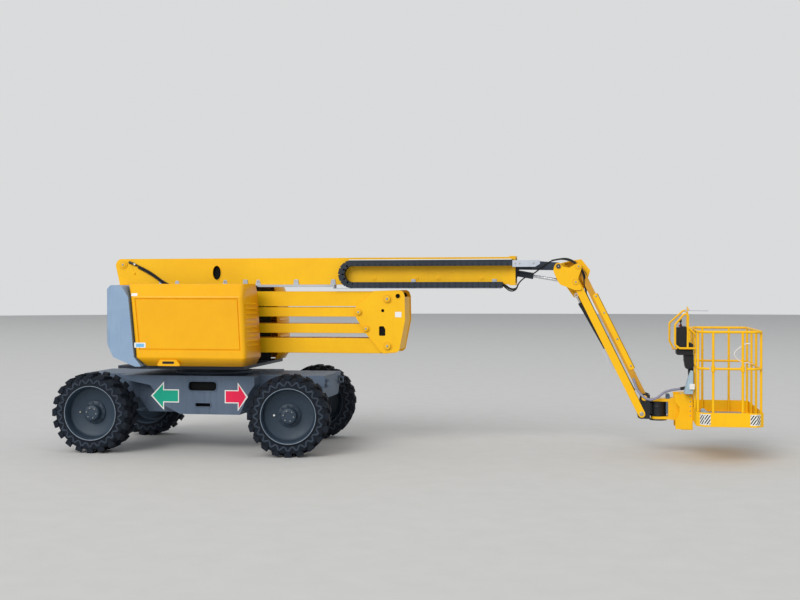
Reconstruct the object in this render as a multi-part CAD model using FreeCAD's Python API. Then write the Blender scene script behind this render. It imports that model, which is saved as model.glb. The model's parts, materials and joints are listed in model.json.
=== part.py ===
import FreeCAD, Part
import math
import os
from FreeCAD import Vector

# Articulating boom lift, millimetres, +Z up, +X towards the basket.
# Pieces are drawn about the slewing axis and moved to the machine's middle when they are written.
# A place is (x, z) in the side view; an offset is counted from the place that carries the piece.

# Flat sides of a drawn round: plain bars and pins, thin rails, wheels
BAR_SIDES = 16
RAIL_SIDES = 8
WHEEL_SIDES = 32

# Clearances
PIN_CLEARANCE = 0.3
SIDE_CLEARANCE = 5

# Wheels and running gear
WHEELBASE = 2600
TYRE_RADIUS = 525
TYRE_WIDTH = 385
LUG_DEPTH = 41
LUG_COUNT = 20
RIM_RADIUS = 352
RIM_EDGE = 17
OVERALL_WIDTH = 2380
KINGPIN_OFFSET = 297.5
KINGPIN_RADIUS = 28
KNUCKLE_RADIUS = 58
KNUCKLE_HEIGHT = 210
SPINDLE_RADIUS = 60
HUB_RADIUS = 150
STEER_REST_DEG = 8
STEER_ARM_LENGTH = 230
STEER_ARM_DROP = 90
TIE_ROD_RADIUS = 16
AXLE_BEAM_HEIGHT = 170
AXLE_BEAM_DEPTH = 140
SADDLE_HEIGHT = 70

# Chassis
SPINE_DEPTH = 320
BELLY_DROP = 190
CHASSIS_HALF_WIDTH = 750
SPINE_HALF_WIDTH = 480
SPINE_OVERHANG = 390
SLOT_DEPTH = 90
TIE_DOWN_RADIUS = 25
TIE_DOWN_PLATE = 25
TIE_DOWN_REACH = 60
TIE_DOWN_Y = 380

# Slewing ring and turntable
RING_RADIUS = 480
PEDESTAL_HEIGHT = 30
RING_HEIGHT = 70
BED_PLATE = 40
BED_HALF_WIDTH = 960
BED_REAR = -1000
BED_FRONT = 720

# Hoods and counterweight
HOOD_HALF_WIDTH = 1150
HOOD_INNER = 450
HOOD_GAP = 6
HOOD_HEIGHT = 1069
HOOD_WALL = 8
COUNTERWEIGHT_OVERHANG = 121
COUNTERWEIGHT_FOOT = 505
LOUVRE_COUNT = 7
LOUVRE_PITCH = 85
LOUVRE_REACH = 24
HINGE_RADIUS = 8
HINGE_TUBE_RADIUS = 15
HINGE_TUBE_LENGTH = 60
HINGE_DROP = 22
HINGE_PLACES = (-400, 450)

# Riser arms and links
ARM_HALF_WIDTH = 230
ARM_HEIGHT = 200
LINK_HEIGHT = 125
ARM_WALL = 10
ARM_PIN_RADIUS = 40
LINK_PIN_RADIUS = 30
PLATE = 22
PLATE_GAP = 10
PIN_HEAD = 12
TROUGH_HALF_WIDTH = 75
MAST_ARM_OFFSET = (350, 247)
LOWER_ARM_LENGTH = 3138
LOWER_LINK_OFFSET = (-289, 230)
UPRIGHT_OFFSET = (-3, 627)
UPPER_ARM_LENGTH = 3285
UPPER_LINK_OFFSET = (-388, -177)

# Riser cylinder and boom cylinder: base pin and rod eye
RISER_BASE_OFFSET = (300, -197)
RISER_EYE_OFFSET = (1000, -57)
RISER_BARREL_RADIUS = 50
BOOM_BASE_OFFSET = (-250, 96)
BOOM_EYE_OFFSET = (1709, -345)
BOOM_BARREL_RADIUS = 48
LIFT_ROD_RADIUS = 28
CLEVIS_PLATE = 22

# Boom
BOOM_PIVOT_OFFSET = (-459, 473)
BOOM_TAIL = 122
BOOM_LENGTH = 5557
BOOM_DEPTH = 360
BOOM_HEADROOM = 78
BOOM_HALF_WIDTH = 150
BOOM_WALL = 10
BOOM_SLOT_END = 1130
SLIDE_GAP = 10
SLIDE_SIDE_GAP = 15
INNER_WALL = 8
INNER_START = 1581
NECK_HALF_WIDTH = 120
NECK_RADIUS = 68
COLLAR_LENGTH = 80
COLLAR_THICKNESS = 12

# Energy chain and its tray
CHAIN_WIDTH = 120
CHAIN_STANDOFF = 20
CHAIN_BEND_START = 3392
CHAIN_BEND_HEIGHT = 138
CHAIN_OUTER_RADIUS = 187
CHAIN_THICKNESS = 81
CHAIN_TOP_INSET = 35
CHAIN_BOTTOM_INSET = 186
CHAIN_LINK_PITCH = 88
CHAIN_LINK_GROOVE = 10
TRAY_START = 2087
TRAY_STEP = 3144
TRAY_PLATE = 8

# Jib
HEAD_PIN_OFFSET = (559, 235)
HEAD_PIN_RADIUS = 30
LEVEL_EYE_OFFSET = (67, -194)
LEVEL_MOUTH_OFFSET = (-333, -126)
LEVEL_BARREL_RADIUS = 42
LEVEL_ROD_RADIUS = 20
LEVEL_BARREL_LENGTH = 510
LEVEL_ROD_LENGTH = 480
JIB_PIN_OFFSET = (225, -208)
JIB_LINK_OFFSET = (35, 205)
JIB_FOOT_OFFSET = (843, -1705)
JIB_HALF_WIDTH = 110
JIB_BAR_HEIGHT = 100
JIB_LINK_HEIGHT = 80
JIB_LINK_HALF_WIDTH = 70
JIB_PIN_RADIUS = 25
JIB_WALL = 10
JIB_CHEEK = 18
JIB_CHEEK_INNER = 122
JIB_EYE_OFFSET = (154, 72)
JIB_BASE_OFFSET = (980, 30)

# Rotary actuator and basket
ACTUATOR_OFFSET = (213, -30)
ACTUATOR_RADIUS = 107
ACTUATOR_HEIGHT = 184
ACTUATOR_SHAFT_RADIUS = 45
BRACKET_PLATE = 35
BASKET_REACH = 427
BASKET_LENGTH = 800
BASKET_WIDTH = 1800
BASKET_DROP = 40
BASKET_FLOOR_PLATE = 18
DECK_PLATE = 4
DECK_INSET = 60
TOE_BOARD_HEIGHT = 173
TOE_BOARD_PLATE = 6
RAIL_HEIGHT = 1140
MID_RAIL_HEIGHT = 620
RAIL_RADIUS = 17
POST_RADIUS = 16
RAIL_INSET = 25
BASKET_CORNER = 90
GATE_POSTS = (197, 547)
GATE_BAR_RADIUS = 14
GATE_COLLAR_HEIGHT = 70
GUARD_REACH = 279
GUARD_RISE = 284
GUARD_NEAR = -330
GUARD_FAR = 60


def plus(place, offset):
    """Place that lies an offset away from another place."""
    return (place[0] + offset[0], place[1] + offset[1])


def moved(place, offsets):
    """Outline given as offsets from a place."""
    return [plus(place, offset) for offset in offsets]


AXLE_HEIGHT = TYRE_RADIUS
WHEEL_Y = OVERALL_WIDTH / 2 - TYRE_WIDTH / 2
KINGPIN_Y = WHEEL_Y - KINGPIN_OFFSET
REAR_AXLE = -WHEELBASE / 2
FRONT_AXLE = WHEELBASE / 2
SPINE_BELLY = AXLE_HEIGHT + AXLE_BEAM_HEIGHT / 2 + SADDLE_HEIGHT
SPINE_END = WHEELBASE / 2 + SPINE_OVERHANG
DECK_HEIGHT = SPINE_BELLY + SPINE_DEPTH
CHASSIS_BOTTOM = SPINE_BELLY - BELLY_DROP
BED_BOTTOM = DECK_HEIGHT + PEDESTAL_HEIGHT + RING_HEIGHT
BED_TOP = BED_BOTTOM + BED_PLATE
HOOD_BOTTOM = BED_TOP + HOOD_GAP
HOOD_TOP = HOOD_BOTTOM + HOOD_HEIGHT
HINGE_Z = HOOD_TOP - HINGE_DROP
HINGE_Y = HOOD_INNER - HINGE_TUBE_RADIUS
COUNTERWEIGHT_REAR = BED_REAR - COUNTERWEIGHT_OVERHANG
MAST_INNER = ARM_HALF_WIDTH + PLATE_GAP
MAST_OUTER = MAST_INNER + PLATE

MAST_ARM_PIN = (BED_REAR + MAST_ARM_OFFSET[0], BED_TOP + MAST_ARM_OFFSET[1])
KNUCKLE_LOWER_ARM_PIN = plus(MAST_ARM_PIN, (LOWER_ARM_LENGTH, 0))
KNUCKLE_UPPER_ARM_PIN = plus(KNUCKLE_LOWER_ARM_PIN, UPRIGHT_OFFSET)
HEAD_ARM_PIN = plus(KNUCKLE_UPPER_ARM_PIN, (-UPPER_ARM_LENGTH, 0))
RISER_BASE = plus(MAST_ARM_PIN, RISER_BASE_OFFSET)
RISER_EYE = plus(MAST_ARM_PIN, RISER_EYE_OFFSET)
BOOM_PIVOT = plus(HEAD_ARM_PIN, BOOM_PIVOT_OFFSET)
BOOM_BASE = plus(HEAD_ARM_PIN, BOOM_BASE_OFFSET)
BOOM_EYE = plus(BOOM_PIVOT, BOOM_EYE_OFFSET)
BOOM_REAR = BOOM_PIVOT[0] - BOOM_TAIL
BOOM_FRONT = BOOM_REAR + BOOM_LENGTH
BOOM_TOP = BOOM_PIVOT[1] + BOOM_HEADROOM
BOOM_BOTTOM = BOOM_TOP - BOOM_DEPTH
INNER_HALF_WIDTH = BOOM_HALF_WIDTH - BOOM_WALL - SLIDE_SIDE_GAP
INNER_BOTTOM = BOOM_BOTTOM + BOOM_WALL + SLIDE_GAP
INNER_TOP = BOOM_TOP - BOOM_WALL - SLIDE_GAP
INNER_REAR = BOOM_REAR + INNER_START
INNER_FRONT = BOOM_FRONT - SLIDE_GAP

CHAIN_FAR = -BOOM_HALF_WIDTH - CHAIN_STANDOFF
CHAIN_NEAR = CHAIN_FAR - CHAIN_WIDTH
CHAIN_BEND_X = BOOM_REAR + CHAIN_BEND_START
CHAIN_BEND_Z = BOOM_BOTTOM + CHAIN_BEND_HEIGHT
CHAIN_INNER_RADIUS = CHAIN_OUTER_RADIUS - CHAIN_THICKNESS
CHAIN_TOP_END = BOOM_FRONT - CHAIN_TOP_INSET
CHAIN_BOTTOM_END = BOOM_FRONT - CHAIN_BOTTOM_INSET

HEAD_PIN = plus((BOOM_FRONT, BOOM_BOTTOM), HEAD_PIN_OFFSET)
LEVEL_EYE = plus(HEAD_PIN, LEVEL_EYE_OFFSET)
LEVEL_MOUTH = plus(HEAD_PIN, LEVEL_MOUTH_OFFSET)
JIB_LOWER_PIN = plus(HEAD_PIN, JIB_PIN_OFFSET)
JIB_UPPER_PIN = plus(JIB_LOWER_PIN, JIB_LINK_OFFSET)
JIB_FOOT_PIN = plus(JIB_LOWER_PIN, JIB_FOOT_OFFSET)
JIB_FOOT_LINK_PIN = plus(JIB_FOOT_PIN, JIB_LINK_OFFSET)
JIB_CHEEK_OUTER = JIB_CHEEK_INNER + JIB_CHEEK
ACTUATOR_X, ACTUATOR_BOTTOM = plus(JIB_FOOT_PIN, ACTUATOR_OFFSET)
ACTUATOR_TOP = ACTUATOR_BOTTOM + ACTUATOR_HEIGHT
BASKET_REAR = ACTUATOR_X + BASKET_REACH
BASKET_FRONT = BASKET_REAR + BASKET_LENGTH
BASKET_BOTTOM = ACTUATOR_BOTTOM - BASKET_DROP
BASKET_FLOOR = BASKET_BOTTOM + BASKET_FLOOR_PLATE
TOP_RAIL_Z = BASKET_FLOOR + RAIL_HEIGHT
MID_RAIL_Z = BASKET_FLOOR + MID_RAIL_HEIGHT
RAIL_Y = BASKET_WIDTH / 2 - RAIL_INSET
GATE_X = tuple(BASKET_REAR + post for post in GATE_POSTS)
ORIGIN_X = (BASKET_FRONT + REAR_AXLE - TYRE_RADIUS) / 2


# Shapes that the pieces share

def block(x_from, x_to, y_from, y_to, z_from, z_to):
    """Box between two corners."""
    return Part.makeBox(x_to - x_from, y_to - y_from, z_to - z_from, Vector(x_from, y_from, z_from))


def side_span(side_sign, near, far):
    """Lowest and highest y of a piece that lies between two distances on one side."""
    return sorted((side_sign * near, side_sign * far))


def side_prism(outline, y_from, y_to):
    """Side outline in X and Z, drawn out across the machine."""
    corners = [Vector(x, y_from, z) for x, z in outline]
    face = Part.Face(Part.makePolygon(corners + corners[:1]))
    return face.extrude(Vector(0, y_to - y_from, 0))


def plan_prism(outline, z_from, z_to):
    """Plan outline in X and Y, drawn upwards."""
    corners = [Vector(x, y, z_from) for x, y in outline]
    face = Part.Face(Part.makePolygon(corners + corners[:1]))
    return face.extrude(Vector(0, 0, z_to - z_from))


def sided_wire(centre, direction, radius, sides):
    """Regular outline about a centre, square to a direction, with its corners on the radius."""
    across = direction.cross(Vector(0, 0, 1))
    if across.Length < 0.01 * direction.Length:
        across = Vector(1, 0, 0)
    across.normalize()
    upward = across.cross(direction)
    upward.normalize()
    corners = []
    for side in range(sides + 1):
        angle = 2 * math.pi * side / sides
        corners.append(centre + across * (radius * math.cos(angle)) + upward * (radius * math.sin(angle)))
    corners[-1] = corners[0]
    return Part.makePolygon(corners)


def tube(start, end, radius, sides=BAR_SIDES):
    """Straight round bar between two points, drawn with flat sides."""
    start = Vector(*start)
    direction = Vector(*end) - start
    return Part.Face(sided_wire(start, direction, radius, sides)).extrude(direction)


def bent_tube(points, radius, sides=RAIL_SIDES):
    """Round bar along straight runs with mitred bends."""
    route = [Vector(*point) for point in points]
    section = sided_wire(route[0], route[1] - route[0], radius, sides)
    return Part.makePolygon(route).makePipeShell([section], True, False, 1)


def cross_round(place, y_from, y_to, radius, sides=BAR_SIDES):
    """Round bar along Y between two sides."""
    return tube((place[0], y_from, place[1]), (place[0], y_to, place[1]), radius, sides)


def cross_pin(place, half_length, radius):
    """Round bar across the machine at a pin's place."""
    return cross_round(place, -half_length, half_length, radius)


def cross_bore(place, y_from, y_to, radius):
    """True round hole along Y between two sides."""
    return Part.makeCylinder(radius, y_to - y_from, Vector(place[0], y_from, place[1]), Vector(0, 1, 0))


def through_bore(place, half_length, pin_radius):
    """True round hole across the machine with a running gap to its pin."""
    return cross_bore(place, -half_length, half_length, pin_radius + PIN_CLEARANCE)


def mirrored(shape):
    """The same shape on the other side of the machine."""
    return shape.mirror(Vector(0, 0, 0), Vector(0, 1, 0))


def both_sides(shape):
    """A shape and its mirror image, as a list."""
    return [shape, mirrored(shape)]


def fused(shapes):
    """One solid from pieces that meet."""
    whole = shapes[0]
    if len(shapes) > 1:
        whole = whole.fuse(shapes[1:])
    return whole.removeSplitter()


def length_between(start, end):
    """Distance between two places."""
    return math.hypot(end[0] - start[0], end[1] - start[1])


def along(shape, base, eye):
    """Piece drawn along +X from the origin, laid from a base towards an eye."""
    copy = shape.copy()
    angle = math.degrees(math.atan2(eye[1] - base[1], eye[0] - base[0]))
    copy.rotate(Vector(0, 0, 0), Vector(0, 1, 0), -angle)
    copy.translate(Vector(base[0], 0, base[1]))
    return copy


# Chassis and axles

def chassis():
    """Welded spine with side boxes, slots and slewing pedestal."""
    spine = [(-SPINE_END, DECK_HEIGHT), (SPINE_END, DECK_HEIGHT), (SPINE_END - 40, SPINE_BELLY),
             (FRONT_AXLE - 400, SPINE_BELLY), (FRONT_AXLE - 540, CHASSIS_BOTTOM),
             (REAR_AXLE + 540, CHASSIS_BOTTOM), (REAR_AXLE + 400, SPINE_BELLY), (-SPINE_END + 40, SPINE_BELLY)]
    # The front edge is an arch round the sweep of the steered wheel
    side = [(REAR_AXLE + 238, DECK_HEIGHT), (FRONT_AXLE - 500, DECK_HEIGHT), (FRONT_AXLE - 500, DECK_HEIGHT - 120),
            (FRONT_AXLE - 545, DECK_HEIGHT - 180), (FRONT_AXLE - 615, DECK_HEIGHT - 300),
            (FRONT_AXLE - 650, DECK_HEIGHT - 400), (FRONT_AXLE - 700, CHASSIS_BOTTOM),
            (REAR_AXLE + 1077, CHASSIS_BOTTOM), (REAR_AXLE + 869, CHASSIS_BOTTOM + 102),
            (REAR_AXLE + 660, DECK_HEIGHT - 132), (REAR_AXLE + 238, DECK_HEIGHT - 50)]
    pedestal = Part.makeCylinder(RING_RADIUS + 40, PEDESTAL_HEIGHT, Vector(0, 0, DECK_HEIGHT))
    body = fused([side_prism(spine, -SPINE_HALF_WIDTH, SPINE_HALF_WIDTH),
                  side_prism(side, -CHASSIS_HALF_WIDTH, CHASSIS_HALF_WIDTH), pedestal])
    # Columns: from x, to x, depth of the slot's top and foot below the deck
    slots = [(-111, 290, 70, 205), (-15, 206, 355, 415)]
    for x_from, x_to, top, foot in slots:
        for y_from, y_to in (side_span(side, CHASSIS_HALF_WIDTH - SLOT_DEPTH, CHASSIS_HALF_WIDTH + 1)
                             for side in (-1, 1)):
            body = body.cut(block(x_from, x_to, y_from, y_to, DECK_HEIGHT - foot, DECK_HEIGHT - top))
    return body


def tie_down_lugs():
    """Four plates with round eyes on the ends of the spine."""
    lugs = []
    for end in (-1, 1):
        wall = end * (SPINE_END - 15)
        tip = end * (SPINE_END + TIE_DOWN_REACH)
        for side_sign in (-1, 1):
            y_from = side_sign * TIE_DOWN_Y - TIE_DOWN_PLATE / 2
            y_to = y_from + TIE_DOWN_PLATE
            middle = DECK_HEIGHT - 110
            plate = side_prism([(wall, middle - 60), (tip, middle - 40), (tip, middle + 40), (wall, middle + 60)],
                               y_from, y_to)
            eye = cross_bore((end * (SPINE_END + TIE_DOWN_REACH / 3), middle), y_from - 1, y_to + 1,
                             TIE_DOWN_RADIUS)
            lugs.append(plate.cut(eye).cut(chassis_end_form()))
    return Part.makeCompound(lugs)


def chassis_end_form():
    """Room that the spine's slanted ends take, so that plates seat on them."""
    outline = [(-SPINE_END, DECK_HEIGHT), (SPINE_END, DECK_HEIGHT), (SPINE_END - 40, SPINE_BELLY),
               (-SPINE_END + 40, SPINE_BELLY)]
    return side_prism(outline, -SPINE_HALF_WIDTH, SPINE_HALF_WIDTH)


def axle_beam(x_centre):
    """Beam under the spine with its saddle."""
    low = AXLE_HEIGHT - AXLE_BEAM_HEIGHT / 2
    high = AXLE_HEIGHT + AXLE_BEAM_HEIGHT / 2
    inner = KINGPIN_Y - 110
    beam = block(x_centre - AXLE_BEAM_DEPTH / 2, x_centre + AXLE_BEAM_DEPTH / 2, -inner, inner, low, high)
    saddle = side_prism([(x_centre - 160, SPINE_BELLY), (x_centre + 160, SPINE_BELLY),
                         (x_centre + AXLE_BEAM_DEPTH / 2, high - 20), (x_centre - AXLE_BEAM_DEPTH / 2, high - 20)],
                        -300, 300)
    return [beam, saddle]


def front_yoke(side_sign):
    """Two ears that hold a kingpin, with the pin."""
    inner = KINGPIN_Y - 140
    ear_gap = KNUCKLE_HEIGHT / 2 + SIDE_CLEARANCE
    low, high = side_span(side_sign, inner, KINGPIN_Y + 50)
    web_low, web_high = side_span(side_sign, inner, inner + 40)
    pieces = [block(FRONT_AXLE - 60, FRONT_AXLE + 60, web_low, web_high,
                    AXLE_HEIGHT - ear_gap - 40, AXLE_HEIGHT + ear_gap + 40)]
    for z_from in (AXLE_HEIGHT - ear_gap - 40, AXLE_HEIGHT + ear_gap):
        pieces.append(block(FRONT_AXLE - 60, FRONT_AXLE + 60, low, high, z_from, z_from + 40))
    pieces.append(tube((FRONT_AXLE, side_sign * KINGPIN_Y, AXLE_HEIGHT - ear_gap - 40),
                       (FRONT_AXLE, side_sign * KINGPIN_Y, AXLE_HEIGHT + ear_gap + 40), KINGPIN_RADIUS))
    return pieces


def axles():
    """Front steering axle and rear fixed axle."""
    front = axle_beam(FRONT_AXLE) + front_yoke(-1) + front_yoke(1)
    rear = axle_beam(REAR_AXLE)
    for side_sign in (-1, 1):
        flange = side_sign * (KINGPIN_Y - 140)
        rear.append(tube((REAR_AXLE, flange, AXLE_HEIGHT), (REAR_AXLE, flange + side_sign * 150, AXLE_HEIGHT), 140))
        rear.append(tube((REAR_AXLE, flange, AXLE_HEIGHT), (REAR_AXLE, side_sign * (WHEEL_Y + 50), AXLE_HEIGHT),
                         SPINDLE_RADIUS))
    return Part.makeCompound([fused(front), fused(rear)])


def steering_knuckle(side_sign):
    """Kingpin housing, spindle and steering arm of one front wheel."""
    middle = side_sign * KINGPIN_Y
    housing = tube((FRONT_AXLE, middle, AXLE_HEIGHT - KNUCKLE_HEIGHT / 2),
                   (FRONT_AXLE, middle, AXLE_HEIGHT + KNUCKLE_HEIGHT / 2), KNUCKLE_RADIUS)
    spindle = tube((FRONT_AXLE, middle, AXLE_HEIGHT), (FRONT_AXLE, side_sign * (WHEEL_Y + 50), AXLE_HEIGHT),
                   SPINDLE_RADIUS)
    arm = block(FRONT_AXLE - STEER_ARM_LENGTH - 25, FRONT_AXLE, middle - 30, middle + 30,
                AXLE_HEIGHT - STEER_ARM_DROP, AXLE_HEIGHT - STEER_ARM_DROP + 30)
    bore = Part.makeCylinder(KINGPIN_RADIUS + PIN_CLEARANCE, 2 * KNUCKLE_HEIGHT,
                             Vector(FRONT_AXLE, middle, AXLE_HEIGHT - KNUCKLE_HEIGHT))
    return steered(fused([housing, spindle, arm]).cut(bore), side_sign)


def steered(shape, side_sign):
    """Front wheel piece turned to the steering angle at which the machine stands."""
    copy = shape.copy()
    copy.rotate(Vector(FRONT_AXLE, side_sign * KINGPIN_Y, 0), Vector(0, 0, 1), STEER_REST_DEG)
    return copy


def tie_rod():
    """Rod that joins the steering arms from below, with its two eyes."""
    turn = math.radians(STEER_REST_DEG)
    x = FRONT_AXLE - STEER_ARM_LENGTH * math.cos(turn)
    shift = -STEER_ARM_LENGTH * math.sin(turn)
    top = AXLE_HEIGHT - STEER_ARM_DROP - PIN_CLEARANCE
    near = -KINGPIN_Y + shift
    far = KINGPIN_Y + shift
    pieces = [tube((x, near, top - 18), (x, far, top - 18), TIE_ROD_RADIUS)]
    for y in (near, far):
        pieces.append(tube((x, y, top - 36), (x, y, top), 26))
    return fused(pieces)


# Wheels

def wheel_round(out_from, out_to, radius):
    """Wheel piece between two distances out from the wheel's middle, outer side to -Y."""
    return tube((0, -out_from, 0), (0, -out_to, 0), radius, WHEEL_SIDES)


def wheel_cone(out_from, radius_from, out_to, radius_to):
    """Tapered wheel piece with flat faces, outer side to -Y."""
    rings = []
    for out, radius in ((out_from, radius_from), (out_to, radius_to)):
        wire = sided_wire(Vector(0, -out, 0), Vector(0, -1, 0), radius, WHEEL_SIDES)
        rings.append([vertex.Point for vertex in wire.OrderedVertexes])
    near, far = rings
    faces = [Part.Face(Part.makePolygon(ring + ring[:1])) for ring in rings]
    for side in range(WHEEL_SIDES):
        other = (side + 1) % WHEEL_SIDES
        corners = [near[side], near[other], far[other], far[side], near[side]]
        faces.append(Part.Face(Part.makePolygon(corners)))
    return Part.Solid(Part.Shell(faces))


def rim():
    """Dished disc wheel with its hub reducer, outer side to -Y."""
    half = TYRE_WIDTH / 2 - 12
    inner = RIM_RADIUS - RIM_EDGE
    band = wheel_round(-half, half, RIM_RADIUS).cut(wheel_round(-half - 1, half + 1, inner))
    dish = wheel_cone(40, HUB_RADIUS - 20, 72, inner + 5).fuse(wheel_round(72, 90, inner + 5))
    dish = dish.cut(wheel_cone(60, HUB_RADIUS, 91, inner - 1))
    hub = [wheel_round(-110, 62, HUB_RADIUS - 10), wheel_round(55, 110, HUB_RADIUS),
           wheel_cone(110, HUB_RADIUS, 150, 95)]
    bore = Part.makeCylinder(SPINDLE_RADIUS + PIN_CLEARANCE, 170, Vector(0, -60, 0), Vector(0, 1, 0))
    return fused([band, dish] + hub).cut(bore)


def lug_ring(y_from, y_to, phase):
    """Ring of lugs as one toothed outline drawn across half of the tread."""
    corners = []
    pitch = 360 / LUG_COUNT
    base = TYRE_RADIUS - LUG_DEPTH
    # Columns: share of the pitch, radius there
    steps = [(0.02, TYRE_RADIUS), (0.50, TYRE_RADIUS), (0.60, base), (0.92, base)]
    for lug in range(LUG_COUNT):
        for share, radius in steps:
            angle = math.radians((lug + share + phase) * pitch)
            corners.append(Vector(radius * math.cos(angle), y_from, radius * math.sin(angle)))
    face = Part.Face(Part.makePolygon(corners + corners[:1]))
    return face.extrude(Vector(0, y_to - y_from, 0))


def tyre():
    """Solid tyre with two staggered rings of lugs."""
    half = TYRE_WIDTH / 2
    gap = half * 0.1
    outer = lug_ring(-half, -gap, 0)
    inner = lug_ring(gap, half, 0.5)
    band = wheel_round(-1.5 * gap, 1.5 * gap, TYRE_RADIUS - LUG_DEPTH - 12)
    hole = wheel_round(-half - 1, half + 1, RIM_RADIUS + PIN_CLEARANCE)
    return outer.fuse([inner, band]).cut(hole)


def on_wheel(shape, x_centre, side_sign):
    """Wheel piece drawn about the Y axis at the origin, outer side to -Y, put on its axle."""
    copy = shape.copy() if side_sign < 0 else mirrored(shape)
    copy.translate(Vector(x_centre, side_sign * WHEEL_Y, AXLE_HEIGHT))
    if x_centre > 0:
        copy = steered(copy, side_sign)
    return copy


# Turntable

def turntable():
    """Slewing ring, bed plate, mast plates, inner panels and cylinder clevis."""
    ring = Part.makeCylinder(RING_RADIUS, RING_HEIGHT - PIN_CLEARANCE,
                             Vector(0, 0, DECK_HEIGHT + PEDESTAL_HEIGHT + PIN_CLEARANCE))
    bed = block(BED_REAR, BED_FRONT, -BED_HALF_WIDTH, BED_HALF_WIDTH, BED_BOTTOM, BED_TOP)
    link_pin = plus(MAST_ARM_PIN, LOWER_LINK_OFFSET)
    mast = [(BED_REAR, BED_TOP)] + moved(link_pin, [(-61, 0), (-45, 45), (0, 61), (50, 55)])
    mast += moved(MAST_ARM_PIN, [(70, 80), (100, 0)]) + [(MAST_ARM_PIN[0] + 560, BED_TOP)]
    pieces = [ring, bed] + both_sides(side_prism(mast, MAST_INNER, MAST_OUTER))
    pieces.append(cross_pin(MAST_ARM_PIN, MAST_OUTER + PIN_HEAD, ARM_PIN_RADIUS))
    pieces.append(cross_pin(link_pin, MAST_OUTER + PIN_HEAD, LINK_PIN_RADIUS))
    ear_inner = RISER_BARREL_RADIUS + SIDE_CLEARANCE
    base_x, base_z = RISER_BASE
    ear = [(base_x - 70, BED_TOP), (base_x - 40, base_z + 20), (base_x - 20, base_z + 40),
           (base_x + 20, base_z + 40), (base_x + 40, base_z + 20), (base_x + 70, BED_TOP)]
    pieces += both_sides(side_prism(ear, ear_inner, ear_inner + CLEVIS_PLATE))
    pieces.append(cross_pin(RISER_BASE, ear_inner + CLEVIS_PLATE, JIB_PIN_RADIUS))
    panel_rear = COUNTERWEIGHT_REAR + COUNTERWEIGHT_FOOT + HOOD_GAP
    panel = block(panel_rear, BED_FRONT - 30, HOOD_INNER - 18, HOOD_INNER - 12, BED_TOP, HOOD_TOP - 60)
    pieces += both_sides(panel)
    for x_centre in HINGE_PLACES:
        for side_sign in (-1, 1):
            pieces += hood_hinge_pin(x_centre, side_sign)
    return fused(pieces)


def hood_hinge_pin(x_centre, side_sign):
    """Hinge pin with its two tabs on top of an inner panel."""
    half = HINGE_TUBE_LENGTH / 2
    middle = side_sign * HINGE_Y
    pieces = [tube((x_centre - half - 12, middle, HINGE_Z), (x_centre + half + 12, middle, HINGE_Z), HINGE_RADIUS)]
    for x_tab in (x_centre - half - 12, x_centre + half + 2):
        pieces.append(block(x_tab, x_tab + 10, middle - 10, middle + 10, HOOD_TOP - 80, HINGE_Z + 10))
    return pieces


def counterweight():
    """Cast tail block behind the hoods, open between its lobes for the boom head."""
    outline = moved((COUNTERWEIGHT_REAR, HOOD_BOTTOM),
                    [(0, 988), (99, 1054), (251, 1040), (341, 894), (416, 116), (COUNTERWEIGHT_FOOT, 10),
                     (COUNTERWEIGHT_FOOT, -HOOD_GAP - 1),
                     (430, -HOOD_GAP - 1), (137, 112), (0, 334)])
    whole = side_prism(outline, -HOOD_HALF_WIDTH, HOOD_HALF_WIDTH)
    plan = rounded_rear(COUNTERWEIGHT_REAR, COUNTERWEIGHT_REAR + 565, HOOD_HALF_WIDTH, 150)
    room = MAST_OUTER + PIN_HEAD + 56
    gap = block(COUNTERWEIGHT_REAR + 81, 0, -room, room, 0, HOOD_TOP + 100)
    upper_gap = block(COUNTERWEIGHT_REAR - 1, 0, -room, room, HOOD_BOTTOM + 504, HOOD_TOP + 100)
    bed_room = block(BED_REAR, 0, -BED_HALF_WIDTH, BED_HALF_WIDTH, 0, BED_TOP)
    return whole.common(plan).cut(gap).cut(upper_gap).cut(bed_room)


def rounded_rear(x_from, x_to, y_half, radius):
    """Tall block with rounded rear corners in plan, eight short faces to a corner."""
    corners = []
    for side_sign in (-1, 1):
        turns = range(9) if side_sign < 0 else range(8, -1, -1)
        for turn in turns:
            angle = math.radians(turn * 90 / 8)
            corners.append((x_from + radius - radius * math.sin(angle),
                            side_sign * (y_half - radius + radius * math.cos(angle))))
    return plan_prism([(x_to, -y_half)] + corners + [(x_to, y_half)], 0, HOOD_TOP + 100)


def hood_form(inset):
    """Outer form of the near hood, drawn in by an inset."""
    outer = HOOD_HALF_WIDTH - inset
    side = [(HOOD_INNER, HOOD_TOP - inset), (HOOD_HALF_WIDTH - 140, HOOD_TOP - inset), (outer, HOOD_TOP - 175),
            (outer, HOOD_BOTTOM + 104), (outer - 80, HOOD_BOTTOM - 1), (HOOD_INNER, HOOD_BOTTOM - 1)]
    corners = [Vector(BED_REAR, -y, z) for y, z in side]
    face = Part.Face(Part.makePolygon(corners + corners[:1]))
    body = face.extrude(Vector(BED_FRONT - BED_REAR + 200, 0, 0))
    rear = moved((COUNTERWEIGHT_REAR + inset, HOOD_BOTTOM), [(276, HOOD_HEIGHT), (365, 910), (439, 124), (545, 0)])
    front = moved((BED_FRONT - inset, HOOD_BOTTOM), [(20, 0), (92, 194), (11, HOOD_HEIGHT)])
    return body.common(side_prism(rear + front, -HOOD_HALF_WIDTH - 10, -HOOD_INNER + 10))


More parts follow.
